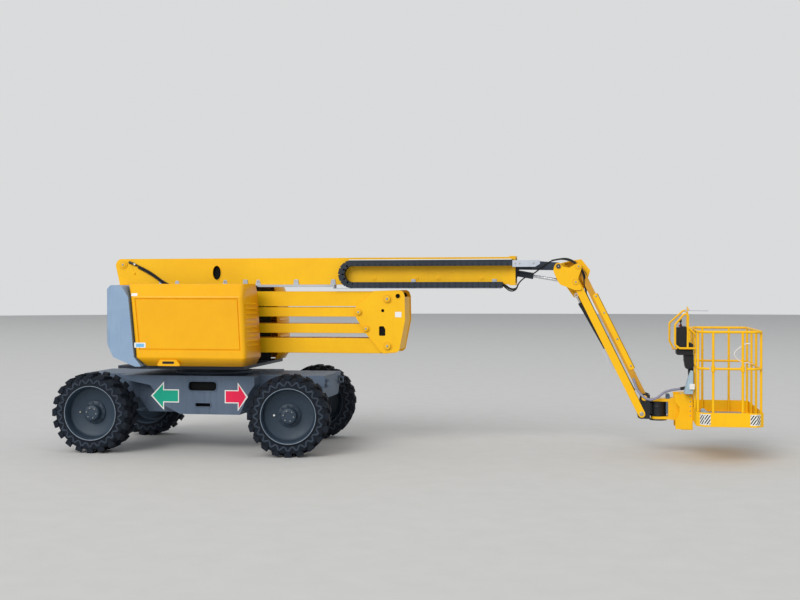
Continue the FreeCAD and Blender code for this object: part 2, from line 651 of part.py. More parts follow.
def hood_louvres():
    """Stepped louvre blades on the front end of the near hood."""
    blades = []
    for step in range(LOUVRE_COUNT):
        low = HOOD_BOTTOM + 270 + step * LOUVRE_PITCH
        rise = (low - HOOD_BOTTOM - 194) / (HOOD_HEIGHT - 194)
        face_x = BED_FRONT + 92 - rise * 81
        blade = [(face_x - HOOD_WALL, low), (face_x + LOUVRE_REACH, low), (face_x - HOOD_WALL, low + 50)]
        blades.append(side_prism(blade, -HOOD_HALF_WIDTH + 120, -HOOD_INNER - 110))
    return blades


def hood(side_sign):
    """Moulded lid over one side of the turntable, open inside and below."""
    shell = hood_form(0).cut(hood_form(HOOD_WALL))
    pieces = [shell] + hood_louvres()
    half = HINGE_TUBE_LENGTH / 2
    bores = []
    for x_centre in HINGE_PLACES:
        start = (x_centre - half, -HINGE_Y, HINGE_Z)
        end = (x_centre + half, -HINGE_Y, HINGE_Z)
        pieces.append(tube(start, end, HINGE_TUBE_RADIUS))
        pieces.append(block(x_centre - half, x_centre + half, -HOOD_INNER - 40, -HINGE_Y,
                            HINGE_Z + HINGE_RADIUS + 2, HOOD_TOP - HOOD_WALL / 2))
        bores.append(Part.makeCylinder(HINGE_RADIUS + PIN_CLEARANCE, HINGE_TUBE_LENGTH + 2,
                                       Vector(x_centre - half - 1, -HINGE_Y, HINGE_Z), Vector(1, 0, 0)))
    lid = pieces[0].fuse(pieces[1:]).cut(bores)
    return lid if side_sign < 0 else mirrored(lid)


def power_pack():
    """Engine as one plain block, and two tanks on the other side."""
    engine = block(-430, 330, HOOD_INNER + 70, HOOD_INNER + 550, BED_TOP, BED_TOP + 640)
    fuel_tank = block(-520, -60, -HOOD_INNER - 550, -HOOD_INNER - 70, BED_TOP, BED_TOP + 560)
    oil_tank = block(80, 560, -HOOD_INNER - 550, -HOOD_INNER - 70, BED_TOP, BED_TOP + 620)
    return Part.makeCompound([engine, fuel_tank, oil_tank])


# Riser arms

def box_bar(left_pin, right_pin, height, half_width, wall, pin_radius):
    """Level box beam with round ends and bored bosses."""
    x_left, z_left = left_pin
    x_right = right_pin[0]
    outer = block(x_left, x_right, -half_width, half_width, z_left - height / 2, z_left + height / 2)
    inner = block(x_left + height / 2, x_right - height / 2, -half_width + wall, half_width - wall,
                  z_left - height / 2 + wall, z_left + height / 2 - wall)
    ends = [cross_pin(pin, half_width, height / 2) for pin in (left_pin, right_pin)]
    body = fused([outer] + ends).cut(inner)
    for pin in (left_pin, right_pin):
        body = body.cut(through_bore(pin, half_width + 1, pin_radius))
    return body


def lower_arm():
    """Lower riser arm with a trough below for its cylinder."""
    body = box_bar(MAST_ARM_PIN, KNUCKLE_LOWER_ARM_PIN, ARM_HEIGHT, ARM_HALF_WIDTH, ARM_WALL, ARM_PIN_RADIUS)
    bottom = MAST_ARM_PIN[1] - ARM_HEIGHT / 2
    x_from = RISER_BASE[0] - 70
    x_to = RISER_EYE[0] + 110
    lined = TROUGH_HALF_WIDTH + ARM_WALL
    lining = block(x_from - ARM_WALL, x_to + ARM_WALL, -lined, lined, bottom, bottom + 130 + ARM_WALL)
    trough = block(x_from, x_to, -TROUGH_HALF_WIDTH, TROUGH_HALF_WIDTH, bottom - 1, bottom + 130)
    boss = cross_round(RISER_EYE, LIFT_ROD_RADIUS + 12, lined, 36)
    return fused([fused([body, lining]).cut(trough)] + both_sides(boss))


def lower_link():
    """Lower levelling link."""
    return box_bar(plus(MAST_ARM_PIN, LOWER_LINK_OFFSET), plus(KNUCKLE_LOWER_ARM_PIN, LOWER_LINK_OFFSET),
                   LINK_HEIGHT, ARM_HALF_WIDTH, ARM_WALL, LINK_PIN_RADIUS)


def upright():
    """Upright that joins the lower and upper arms at the machine's front."""
    upper = KNUCKLE_UPPER_ARM_PIN
    lower = KNUCKLE_LOWER_ARM_PIN
    outline = moved(upper, [(-189, 104), (173, 117), (212, 95), (233, 37)])
    outline += moved(lower, [(236, 348), (156, -57), (120, -87), (-45, -102), (-100, -80), (-301, 173),
                             (-428, 373)])
    outline += moved(upper, [(-435, -134), (-420, -85), (-305, -14)])
    plate = side_prism(outline, MAST_INNER, MAST_OUTER)
    plate = plate.cut(cross_round(plus(upper, (142, 37)), MAST_INNER - 1, MAST_OUTER + 1, 24))
    # D-shaped access hole: flat side up
    hole = plus(lower, (-73, 198))
    half_round = [(34 * math.cos(math.radians(turn)), 34 * math.sin(math.radians(turn)))
                  for turn in range(-180, 1, 20)]
    plate = plate.cut(side_prism(moved(hole, half_round), MAST_INNER - 1, MAST_OUTER + 1))
    pieces = both_sides(plate)
    web = moved(lower, [(112, -47), (152, -47), (224, 348)]) + moved(upper, [(221, 26), (205, 26)])
    web.append(plus(lower, (206, 348)))
    pieces.append(side_prism(web, -MAST_INNER, MAST_INNER))
    pieces.append(cross_pin(plus(lower, (-48, 313)), MAST_INNER, 45))
    for place, radius in ((lower, ARM_PIN_RADIUS), (upper, ARM_PIN_RADIUS),
                          (plus(lower, LOWER_LINK_OFFSET), LINK_PIN_RADIUS),
                          (plus(upper, UPPER_LINK_OFFSET), LINK_PIN_RADIUS)):
        pieces.append(cross_pin(place, MAST_OUTER + PIN_HEAD, radius))
        for boss in both_sides(cross_round(place, MAST_OUTER, MAST_OUTER + PIN_HEAD - 4, radius + 24)):
            pieces.append(boss)
    return fused(pieces)


def upper_arm():
    """Upper riser arm with a trough above for the boom cylinder."""
    body = box_bar(HEAD_ARM_PIN, KNUCKLE_UPPER_ARM_PIN, ARM_HEIGHT, ARM_HALF_WIDTH, ARM_WALL, ARM_PIN_RADIUS)
    top = HEAD_ARM_PIN[1] + ARM_HEIGHT / 2
    lined = TROUGH_HALF_WIDTH + ARM_WALL
    x_wall = HEAD_ARM_PIN[0] + ARM_HEIGHT / 2
    x_to = BOOM_EYE[0] + 160
    lining = block(x_wall, x_to + ARM_WALL, -lined, lined, top - 60 - ARM_WALL, top)
    trough = block(x_wall - 200, x_to, -TROUGH_HALF_WIDTH, TROUGH_HALF_WIDTH, top - 60, top + 1)
    fork = block(x_wall - 300, x_wall - ARM_WALL, -TROUGH_HALF_WIDTH, TROUGH_HALF_WIDTH,
                 top - ARM_HEIGHT - 1, top + 1)
    return fused([body, lining]).cut(trough).cut(fork)


def upper_link():
    """Upper levelling link."""
    return box_bar(plus(HEAD_ARM_PIN, UPPER_LINK_OFFSET), plus(KNUCKLE_UPPER_ARM_PIN, UPPER_LINK_OFFSET),
                   LINK_HEIGHT, ARM_HALF_WIDTH, ARM_WALL, LINK_PIN_RADIUS)


def boom_head():
    """Rear upright that carries the boom on the upper arm."""
    link_pin = plus(HEAD_ARM_PIN, UPPER_LINK_OFFSET)
    rear_x = HEAD_ARM_PIN[0] - 535
    top = HEAD_ARM_PIN[1] + 171
    plate = moved(HEAD_ARM_PIN, [(-535, -224), (-348, -252), (60, -79), (95, 0), (60, 71), (-160, 171), (-535, 171)])
    pieces = both_sides(side_prism(plate, MAST_INNER, MAST_OUTER))
    pieces.append(block(rear_x, link_pin[0] - LINK_HEIGHT / 2 - 11, -MAST_INNER, MAST_INNER,
                        HEAD_ARM_PIN[1] - 214, top))
    pieces.append(block(rear_x, rear_x + 145, -MAST_INNER, MAST_INNER, top - 35, top))
    pivot_x, pivot_z = BOOM_PIVOT
    pieces.append(block(pivot_x - NECK_RADIUS, pivot_x + NECK_RADIUS, -NECK_HALF_WIDTH, NECK_HALF_WIDTH,
                        top - 35, pivot_z))
    pieces.append(cross_pin(BOOM_PIVOT, NECK_HALF_WIDTH, NECK_RADIUS))
    pieces.append(cross_pin(BOOM_PIVOT, BOOM_HALF_WIDTH + PIN_HEAD + 2, ARM_PIN_RADIUS))
    for pin, radius in ((link_pin, LINK_PIN_RADIUS), (BOOM_BASE, LINK_PIN_RADIUS)):
        pieces.append(cross_pin(pin, MAST_OUTER + PIN_HEAD, radius))
    for side_sign in (-1, 1):
        y_from, y_to = side_span(side_sign, TROUGH_HALF_WIDTH + SIDE_CLEARANCE, MAST_OUTER + PIN_HEAD)
        pieces.append(cross_round(HEAD_ARM_PIN, y_from, y_to, ARM_PIN_RADIUS))
    return fused(pieces)


# Hydraulic cylinders

def barrel(base, eye, radius, rod_radius, pin_radius, eye_half_width, mouth_gap):
    """Cylinder barrel with its base eye; the mouth ends a gap short of the rod's eye."""
    mouth = length_between(base, eye) - mouth_gap
    body = tube((pin_radius + 15, 0, 0), (mouth, 0, 0), radius)
    gland = tube((mouth - 60, 0, 0), (mouth, 0, 0), radius + 3)
    base_eye = cross_pin((0, 0), eye_half_width, pin_radius + 18)
    rod_bore = tube((pin_radius + 40, 0, 0), (mouth + 1, 0, 0), rod_radius + 1)
    whole = fused([body, gland, base_eye]).cut(through_bore((0, 0), 2 * radius, pin_radius)).cut(rod_bore)
    return along(whole, base, eye)


def piston_rod(base, eye, rod_radius, pin_radius, eye_half_width, reach_back):
    """Cylinder rod with its eye; it reaches back into the barrel to a distance from the base pin."""
    length = length_between(base, eye)
    body = tube((reach_back, 0, 0), (length - pin_radius, 0, 0), rod_radius)
    rod_eye = cross_pin((length, 0), eye_half_width, pin_radius + 14)
    bore = cross_bore((length, 0), -2 * eye_half_width, 2 * eye_half_width, pin_radius)
    return along(fused([body, rod_eye]).cut(bore), base, eye)


# Boom

def boom_outer():
    """Boom tube with its forked rear end, oval holes, cylinder lug and front collar."""
    outline = [(BOOM_REAR, BOOM_TOP - 42), (BOOM_REAR + 18, BOOM_TOP - 12), (BOOM_REAR + 48, BOOM_TOP),
               (BOOM_FRONT, BOOM_TOP), (BOOM_FRONT, BOOM_BOTTOM), (BOOM_REAR + 72, BOOM_BOTTOM)]
    body = side_prism(outline, -BOOM_HALF_WIDTH, BOOM_HALF_WIDTH)
    room = BOOM_HALF_WIDTH - BOOM_WALL
    fork_end = BOOM_PIVOT[0] + 180
    body = body.cut(block(BOOM_REAR - 10, BOOM_FRONT + 10, -room, room, BOOM_BOTTOM + BOOM_WALL,
                          BOOM_TOP - BOOM_WALL))
    body = body.cut(block(BOOM_REAR - 10, fork_end, -room, room, BOOM_BOTTOM - 10, BOOM_TOP - BOOM_WALL))
    slot_half = BOOM_BARREL_RADIUS + 12
    body = body.cut(block(fork_end - 1, BOOM_PIVOT[0] + BOOM_SLOT_END, -slot_half, slot_half, BOOM_BOTTOM - 1,
                          BOOM_BOTTOM + BOOM_WALL + 1))
    oval_x = BOOM_REAR + 1471
    low = BOOM_BOTTOM + 120
    high = BOOM_BOTTOM + 235
    reach = BOOM_HALF_WIDTH + 1
    oval = [cross_pin((oval_x, z), reach, 37) for z in (low, high)]
    oval.append(block(oval_x - 37, oval_x + 37, -reach, reach, low, high))
    body = body.cut(fused(oval))
    collar_y = BOOM_HALF_WIDTH + COLLAR_THICKNESS
    collar = block(BOOM_FRONT - COLLAR_LENGTH, BOOM_FRONT, -collar_y, collar_y,
                   BOOM_BOTTOM - COLLAR_THICKNESS, BOOM_TOP + COLLAR_THICKNESS)
    pad_y = INNER_HALF_WIDTH + PIN_CLEARANCE
    collar = collar.cut(block(BOOM_FRONT - COLLAR_LENGTH - 10, BOOM_FRONT + 10, -pad_y, pad_y,
                              INNER_BOTTOM - PIN_CLEARANCE, INNER_TOP + PIN_CLEARANCE))
    eye_x, eye_z = BOOM_EYE
    lug = side_prism([(eye_x - 90, BOOM_BOTTOM), (eye_x - 40, eye_z - 30), (eye_x + 40, eye_z - 30),
                      (eye_x + 90, BOOM_BOTTOM)], LIFT_ROD_RADIUS + 12, LIFT_ROD_RADIUS + 12 + CLEVIS_PLATE)
    whole = fused([body, collar] + both_sides(lug))
    return whole.cut(through_bore(BOOM_PIVOT, BOOM_HALF_WIDTH + 1, ARM_PIN_RADIUS))


def boom_inner():
    """Telescoping section with the ears and pin that carry the jib head, and the chain's end plate."""
    room = INNER_HALF_WIDTH - INNER_WALL
    body = block(INNER_REAR, INNER_FRONT, -INNER_HALF_WIDTH, INNER_HALF_WIDTH, INNER_BOTTOM, INNER_TOP)
    body = body.cut(block(INNER_REAR - 1, INNER_FRONT + 1, -room, room, INNER_BOTTOM + INNER_WALL,
                          INNER_TOP - INNER_WALL))
    ear = [(INNER_FRONT - 166, INNER_BOTTOM + 15), (INNER_FRONT, INNER_BOTTOM + 15)]
    ear += [(INNER_FRONT + 40, HEAD_PIN[1] - 40)] + moved(HEAD_PIN, [(0, -50), (35, -35), (50, 0), (35, 35), (0, 50)])
    ear += [(INNER_FRONT + 134, INNER_TOP - 25), (INNER_FRONT - 166, INNER_TOP - 15)]
    ear_inner = room - 33
    pieces = [body] + both_sides(side_prism(ear, ear_inner, room))
    pieces.append(cross_pin(HEAD_PIN, JIB_CHEEK_OUTER + PIN_HEAD, HEAD_PIN_RADIUS))
    plate_low = CHAIN_BEND_Z + CHAIN_INNER_RADIUS - 21
    plate_high = CHAIN_BEND_Z + CHAIN_OUTER_RADIUS - 12
    start = CHAIN_TOP_END + 4
    pieces.append(side_prism([(start, plate_low), (start + 243, plate_low), (start + 359, plate_high),
                              (start, plate_high)], CHAIN_NEAR, CHAIN_NEAR + TRAY_PLATE))
    pieces.append(block(INNER_FRONT + 24, INNER_FRONT + 214, CHAIN_NEAR, -ear_inner, plate_low, plate_low + 12))
    pieces += level_barrel(room)
    mouth = Vector(LEVEL_MOUTH[0], 0, LEVEL_MOUTH[1])
    back = level_direction() * (LEVEL_BARREL_LENGTH - 100)
    bore = tube(mouth - back, mouth + level_direction() * 10, LEVEL_ROD_RADIUS + 1)
    return fused(pieces).cut(bore)


def level_direction():
    """Way in which the levelling cylinder points, as a unit vector."""
    direction = Vector(LEVEL_EYE[0] - LEVEL_MOUTH[0], 0, LEVEL_EYE[1] - LEVEL_MOUTH[1])
    direction.normalize()
    return direction


def level_barrel(room):
    """Levelling cylinder's barrel with the cross block that holds its tail inside the boom."""
    mouth = Vector(LEVEL_MOUTH[0], 0, LEVEL_MOUTH[1])
    tail = mouth - level_direction() * LEVEL_BARREL_LENGTH
    holder = block(tail.x, tail.x + 60, -room, room, tail.z - 50, tail.z + 50)
    return [tube(tail, mouth, LEVEL_BARREL_RADIUS), holder]


def level_rod():
    """Chrome rod that keeps the jib head level."""
    eye = Vector(LEVEL_EYE[0], 0, LEVEL_EYE[1])
    start = eye - level_direction() * LEVEL_ROD_LENGTH
    body = tube(start, eye - level_direction() * 22, LEVEL_ROD_RADIUS)
    return fused([body, cross_pin(LEVEL_EYE, 25, 36)]).cut(cross_bore(LEVEL_EYE, -40, 40, 18))


def chain_tray():
    """Tray and brackets along the boom that carry the energy chain."""
    step_x = BOOM_REAR + TRAY_STEP
    strip_top = BOOM_BOTTOM - 1
    strip_bottom = strip_top - 31
    ledge_top = CHAIN_BEND_Z - CHAIN_OUTER_RADIUS - PIN_CLEARANCE
    ledge_bottom = ledge_top - TRAY_PLATE
    pieces = [block(BOOM_REAR + TRAY_START, step_x, CHAIN_NEAR, -BOOM_HALF_WIDTH, strip_bottom, strip_top),
              block(step_x, CHAIN_BOTTOM_END, CHAIN_NEAR, -BOOM_HALF_WIDTH, ledge_bottom, ledge_top),
              block(step_x - 8, step_x + 8, CHAIN_NEAR, -BOOM_HALF_WIDTH, ledge_bottom, strip_top)]
    # Brackets by their distance from the boom's rear end
    for distance in (681, 1881, 2593, 3107, 4200, 5281):
        x_centre = BOOM_REAR + distance
        low = ledge_bottom if distance > TRAY_STEP else strip_bottom
        bracket = [(x_centre - 42, low), (x_centre + 42, low), (x_centre + 28, BOOM_BOTTOM + 70),
                   (x_centre - 28, BOOM_BOTTOM + 70)]
        pieces.append(side_prism(bracket, -BOOM_HALF_WIDTH - 12, -BOOM_HALF_WIDTH))
    return pieces[0].fuse(pieces[1:])


def energy_chain():
    """Energy chain laid in a loop beside the boom, with a groove between each link and the next."""
    z_top = CHAIN_BEND_Z + CHAIN_OUTER_RADIUS
    z_bottom = CHAIN_BEND_Z - CHAIN_OUTER_RADIUS
    bend = (CHAIN_BEND_X, CHAIN_BEND_Z)
    outer = [block(CHAIN_BEND_X, CHAIN_TOP_END, CHAIN_NEAR, CHAIN_FAR, CHAIN_BEND_Z, z_top),
             block(CHAIN_BEND_X, CHAIN_BOTTOM_END, CHAIN_NEAR, CHAIN_FAR, z_bottom, CHAIN_BEND_Z),
             cross_round(bend, CHAIN_NEAR, CHAIN_FAR, CHAIN_OUTER_RADIUS)]
    inner = [block(CHAIN_BEND_X, CHAIN_TOP_END + 10, CHAIN_NEAR - 1, CHAIN_FAR + 1,
                   CHAIN_BEND_Z - CHAIN_INNER_RADIUS, CHAIN_BEND_Z + CHAIN_INNER_RADIUS),
             cross_round(bend, CHAIN_NEAR - 1, CHAIN_FAR + 1, CHAIN_INNER_RADIUS)]
    whole = fused(outer).cut(fused(inner))
    grooves = []
    depth = CHAIN_LINK_GROOVE
    for z_from, z_to, end in ((z_top - depth, z_top + 1, CHAIN_TOP_END),
                              (z_bottom - 1, z_bottom + depth, CHAIN_BOTTOM_END)):
        for link in range(1, int((end - CHAIN_BEND_X) / CHAIN_LINK_PITCH) + 1):
            x = CHAIN_BEND_X + link * CHAIN_LINK_PITCH
            grooves.append(block(x - depth / 2, x + depth / 2, CHAIN_NEAR - 1, CHAIN_FAR + 1, z_from, z_to))
    return whole.cut(grooves)


# Jib

def jib_frame_place(offset):
    """Place given by its distance along the lower bar from its upper pin and its distance below it."""
    length = length_between(JIB_LOWER_PIN, JIB_FOOT_PIN)
    unit_x = (JIB_FOOT_PIN[0] - JIB_LOWER_PIN[0]) / length
    unit_z = (JIB_FOOT_PIN[1] - JIB_LOWER_PIN[1]) / length
    along_bar, below_bar = offset
    return plus(JIB_LOWER_PIN, (along_bar * unit_x + below_bar * unit_z, along_bar * unit_z - below_bar * unit_x))


JIB_EYE = jib_frame_place(JIB_EYE_OFFSET)
JIB_BASE = jib_frame_place(JIB_BASE_OFFSET)


def jib_head():
    """Two cheek plates that hang on the boom's ears and carry the jib's bars."""
    outline = moved(HEAD_PIN, [(-68, -25), (-45, 15), (-4, 40), (151, 78), (292, 97), (408, -53), (357, -221),
                               (305, -338), (241, -410), (195, -410), (87, -260), (9, -210)])
    cheek = side_prism(outline, JIB_CHEEK_INNER, JIB_CHEEK_OUTER)
    cheek = cheek.cut(cross_bore(HEAD_PIN, JIB_CHEEK_INNER - 1, JIB_CHEEK_OUTER + 1,
                                 HEAD_PIN_RADIUS + PIN_CLEARANCE))
    pieces = both_sides(cheek)
    reach = JIB_CHEEK_OUTER + 8
    for place in (JIB_LOWER_PIN, JIB_UPPER_PIN):
        pieces.append(cross_pin(place, reach, JIB_PIN_RADIUS))
    top_web = moved(HEAD_PIN, [(65, 35), (151, 58), (210, 66), (210, 84), (151, 76), (65, 54)])
    pieces.append(side_prism(top_web, -JIB_CHEEK_INNER, JIB_CHEEK_INNER))
    pieces += both_sides(cross_round(LEVEL_EYE, 32, reach, 30))
    pieces += both_sides(cross_round(JIB_EYE, 32, reach, 16))
    return fused(pieces)


def jib_bar(upper_pin, height, half_width, open_below):
    """Jib bar along its pins; a lower bar is a channel that is open below for the cylinder."""
    length = length_between(JIB_LOWER_PIN, JIB_FOOT_PIN)
    body = block(0, length, -half_width, half_width, -height / 2, height / 2)
    ends = [cross_pin((x, 0), half_width, height / 2) for x in (0, length)]
    body = fused([body] + ends)
    reach = height / 2 + 1
    floor = -reach if open_below else -height / 2 + JIB_WALL
    margin = reach if open_below else -height / 2
    body = body.cut(block(-margin, length + margin, -half_width + JIB_WALL, half_width - JIB_WALL, floor,
                          height / 2 - JIB_WALL))
    for x_pin in (0, length):
        body = body.cut(through_bore((x_pin, 0), half_width + 1, JIB_PIN_RADIUS))
    return along(body, upper_pin, plus(upper_pin, JIB_FOOT_OFFSET))


def jib_lower_bar():
    """Lower bar of the jib with the pin that holds its cylinder's barrel."""
    body = jib_bar(JIB_LOWER_PIN, JIB_BAR_HEIGHT, JIB_HALF_WIDTH, True)
    return fused([body, cross_pin(JIB_BASE, JIB_HALF_WIDTH - 2, 17)])


def jib_upper_bar():
    """Upper bar of the jib."""
    return jib_bar(JIB_UPPER_PIN, JIB_LINK_HEIGHT, JIB_LINK_HALF_WIDTH, False)


def jib_foot():
    """Cheeks and back plate at the jib's lower end."""
    outline = moved(JIB_FOOT_PIN, [(-53, -37), (-40, -55), (-13, -65), (106, -65), (106, 243), (47, 263),
                                   (5, 258), (-13, 233)])
    inner = JIB_HALF_WIDTH + 6
    outer = inner + 16
    pieces = both_sides(side_prism(outline, inner, outer))
    back = moved(JIB_FOOT_PIN, [(87, -65), (106, -65), (106, 243), (87, 243)])
    pieces.append(side_prism(back, -outer, outer))
    for side_sign in (-1, 1):
        y_from, y_to = side_span(side_sign, JIB_HALF_WIDTH - 18, outer + 8)
        pieces.append(cross_round(JIB_FOOT_PIN, y_from, y_to, JIB_PIN_RADIUS))
    pieces.append(cross_pin(JIB_FOOT_LINK_PIN, outer + 8, JIB_PIN_RADIUS))
    return fused(pieces)


def rotary_actuator():
    """Upright rotary actuator with its shaft ends and the flange that holds it to the jib's foot."""
    body = tube((ACTUATOR_X, 0, ACTUATOR_BOTTOM), (ACTUATOR_X, 0, ACTUATOR_TOP), ACTUATOR_RADIUS, WHEEL_SIDES)
    shaft = tube((ACTUATOR_X, 0, ACTUATOR_BOTTOM - 40), (ACTUATOR_X, 0, ACTUATOR_TOP + 40), ACTUATOR_SHAFT_RADIUS)
    flange = block(JIB_FOOT_PIN[0] + 106, ACTUATOR_X, -70, 70, ACTUATOR_BOTTOM + 25, ACTUATOR_TOP - 20)
    return fused([body, shaft, flange])


def basket_bracket():
    """Bracket that turns with the actuator's shaft and carries the basket."""
    pieces = []
    stem = BASKET_REAR - 303
    step = BASKET_REAR - 143
    for z_from in (ACTUATOR_BOTTOM - SIDE_CLEARANCE - BRACKET_PLATE, ACTUATOR_TOP + SIDE_CLEARANCE):
        pieces.append(tube((ACTUATOR_X, 0, z_from), (ACTUATOR_X, 0, z_from + BRACKET_PLATE), 95))
        pieces.append(block(ACTUATOR_X, stem + 60, -95, 95, z_from, z_from + BRACKET_PLATE))
    low = ACTUATOR_BOTTOM - SIDE_CLEARANCE - BRACKET_PLATE
    high = ACTUATOR_TOP + SIDE_CLEARANCE + BRACKET_PLATE
    pieces.append(side_prism([(stem, low), (stem, high), (step, high + 39), (step, low - 17)], -95, 95))
    # The mount's rear edge bulges in a shallow arc
    middle = (BASKET_BOTTOM - 120 + BASKET_BOTTOM + 341) / 2
    arc = [(step - 26 * math.sin(math.radians(turn)), middle + 230.5 * math.cos(math.radians(turn)))
           for turn in range(0, 181, 20)]
    mount = [(BASKET_REAR, BASKET_BOTTOM + 341)] + arc + [(BASKET_REAR, BASKET_BOTTOM - 120)]
    pieces.append(side_prism(mount, -200, 200))
    shaft = Part.makeCylinder(ACTUATOR_SHAFT_RADIUS + PIN_CLEARANCE, 2 * ACTUATOR_HEIGHT,
                              Vector(ACTUATOR_X, 0, ACTUATOR_BOTTOM - ACTUATOR_HEIGHT / 2))
    return fused(pieces).cut(shaft)


# Basket

def basket_plan(inset):
    """Basket outline in plan with cut corners."""
    x_from = BASKET_REAR + inset
    x_to = BASKET_FRONT - inset
    y = BASKET_WIDTH / 2 - inset
    cut = BASKET_CORNER
    return [(x_from, -y + cut), (x_from + cut, -y), (x_to - cut, -y), (x_to, -y + cut), (x_to, y - cut),
            (x_to - cut, y), (x_from + cut, y), (x_from, y - cut)]


def basket_floor():
    """Floor plate with its toe boards and a raised deck inside the posts."""
    tray = plan_prism(basket_plan(0), BASKET_BOTTOM, BASKET_BOTTOM + TOE_BOARD_HEIGHT)
    hollow = plan_prism(basket_plan(TOE_BOARD_PLATE), BASKET_FLOOR, BASKET_BOTTOM + TOE_BOARD_HEIGHT + 1)
    deck = plan_prism(basket_plan(DECK_INSET), BASKET_FLOOR - 1, BASKET_FLOOR + DECK_PLATE)
    return fused([tray.cut(hollow), deck])


def rail_loop(height, open_at_gate):
    """Rail around the basket at one height, closed or ending at the gate's posts."""
    plan = basket_plan(RAIL_INSET)
    ring = plan[2:] + plan[:2]
    middle = (GATE_X[0] + GATE_X[1]) / 2
    start = GATE_X[1] if open_at_gate else middle
    end = GATE_X[0] if open_at_gate else middle
    route = [(start, -RAIL_Y)] + ring + [(end, -RAIL_Y)]
    return bent_tube([(x, y, height) for x, y in route], RAIL_RADIUS)


def basket_rails():
    """Guard rails with posts and the bent guard tubes over the console."""
    rear_x = BASKET_REAR + RAIL_INSET
    front_x = BASKET_FRONT - RAIL_INSET
    posts = [(x, side * RAIL_Y) for side in (-1, 1) for x in GATE_X]
    posts += [(x, y) for x in (rear_x, front_x) for y in (-RAIL_Y + 110, -250, 250, RAIL_Y - 110)]
    pieces = [rail_loop(TOP_RAIL_Z, False), rail_loop(MID_RAIL_Z, True)]
    for x, y in posts:
        pieces.append(tube((x, y, BASKET_FLOOR), (x, y, TOP_RAIL_Z), POST_RADIUS, RAIL_SIDES))
    reach_x = BASKET_REAR - GUARD_REACH
    crown = (BASKET_REAR - 69, TOP_RAIL_Z + GUARD_RISE)
    low = TOP_RAIL_Z - 379
    guard = [(rear_x, low), (reach_x + 36, low), (reach_x, low + 64), (reach_x, TOP_RAIL_Z - 55), crown,
             (rear_x, crown[1] - 59), (rear_x, TOP_RAIL_Z)]
    for y in (GUARD_NEAR, GUARD_FAR):
        pieces.append(bent_tube([(x, y, z) for x, z in guard], RAIL_RADIUS - 2))
    for x, z in ((rear_x, low), crown):
        pieces.append(tube((x, GUARD_NEAR, z), (x, GUARD_FAR, z), RAIL_RADIUS - 3, RAIL_SIDES))
    return pieces[0].fuse(pieces[1:])


def gate():
    """Entry bar that slides up its two posts."""
    middle = MID_RAIL_Z + GATE_COLLAR_HEIGHT
    pieces = [tube((GATE_X[0], -RAIL_Y, middle), (GATE_X[1], -RAIL_Y, middle), GATE_BAR_RADIUS, RAIL_SIDES)]
    for x in GATE_X:
        pieces.append(tube((x, -RAIL_Y, middle - GATE_COLLAR_HEIGHT / 2), (x, -RAIL_Y, middle + GATE_COLLAR_HEIGHT / 2),
                           RAIL_RADIUS + 8))
    whole = fused(pieces)
    for x in GATE_X:
        whole = whole.cut(Part.makeCylinder(POST_RADIUS + PIN_CLEARANCE, 4 * GATE_COLLAR_HEIGHT,
                                            Vector(x, -RAIL_Y, middle - 2 * GATE_COLLAR_HEIGHT)))
    return whole


def console():
    """Control box behind the guard tubes."""
    back = BASKET_REAR + RAIL_INSET - POST_RADIUS - PIN_CLEARANCE
    front = BASKET_REAR - GUARD_REACH + 51
    low = TOP_RAIL_Z - 325
    return side_prism([(front, low), (back, low), (back, low + 210), (front + 115, low + 270),
                       (front, low + 210)], GUARD_NEAR + 30, GUARD_FAR - 30)


def build():
    """Every piece by its node name."""
    rim_shape = rim()
    tyre_shape = tyre()
    nodes = {
        "chassis": chassis(),
        "tie_down_lugs": tie_down_lugs(),
        "axles": axles(),
        "tie_rod": tie_rod(),
        "turntable": turntable(),
        "counterweight": counterweight(),
        "hood_near": hood(-1),
        "hood_far": hood(1),
        "power_pack": power_pack(),
        "lower_arm": lower_arm(),
        "lower_link": lower_link(),
        "upright": upright(),
        "upper_arm": upper_arm(),
        "upper_link": upper_link(),
        "boom_head": boom_head(),
        "riser_barrel": barrel(RISER_BASE, RISER_EYE, RISER_BARREL_RADIUS, LIFT_ROD_RADIUS, JIB_PIN_RADIUS, 48, 110),
        "riser_rod": piston_rod(RISER_BASE, RISER_EYE, LIFT_ROD_RADIUS, JIB_PIN_RADIUS, 30, 100),
        "boom_barrel": barrel(BOOM_BASE, BOOM_EYE, BOOM_BARREL_RADIUS, LIFT_ROD_RADIUS, LINK_PIN_RADIUS, 40, 130),
        "boom_rod": piston_rod(BOOM_BASE, BOOM_EYE, LIFT_ROD_RADIUS, 16, 30, 500),
        "boom_outer": boom_outer(),
        "boom_inner": boom_inner(),
        "level_rod": level_rod(),
        "chain_tray": chain_tray(),
        "energy_chain": energy_chain(),
        "jib_head": jib_head(),
        "jib_lower_bar": jib_lower_bar(),
        "jib_upper_bar": jib_upper_bar(),
        "jib_barrel": barrel(JIB_BASE, JIB_EYE, 35, 18, 17, 30, 110),
        "jib_rod": piston_rod(JIB_BASE, JIB_EYE, 18, 14, 22, 300),
        "jib_foot": jib_foot(),
        "rotary_actuator": rotary_actuator(),
        "basket_bracket": basket_bracket(),
        "basket_floor": basket_floor(),
        "basket_rails": basket_rails(),
        "gate": gate(),
        "console": console(),
    }
    for side_sign, side_name in ((-1, "near"), (1, "far")):
        nodes["knuckle_" + side_name] = steering_knuckle(side_sign)
        for end_name, x_centre in (("rear", REAR_AXLE), ("front", FRONT_AXLE)):
            nodes["rim_" + end_name + "_" + side_name] = on_wheel(rim_shape, x_centre, side_sign)
            nodes["tyre_" + end_name + "_" + side_name] = on_wheel(tyre_shape, x_centre, side_sign)
    return nodes


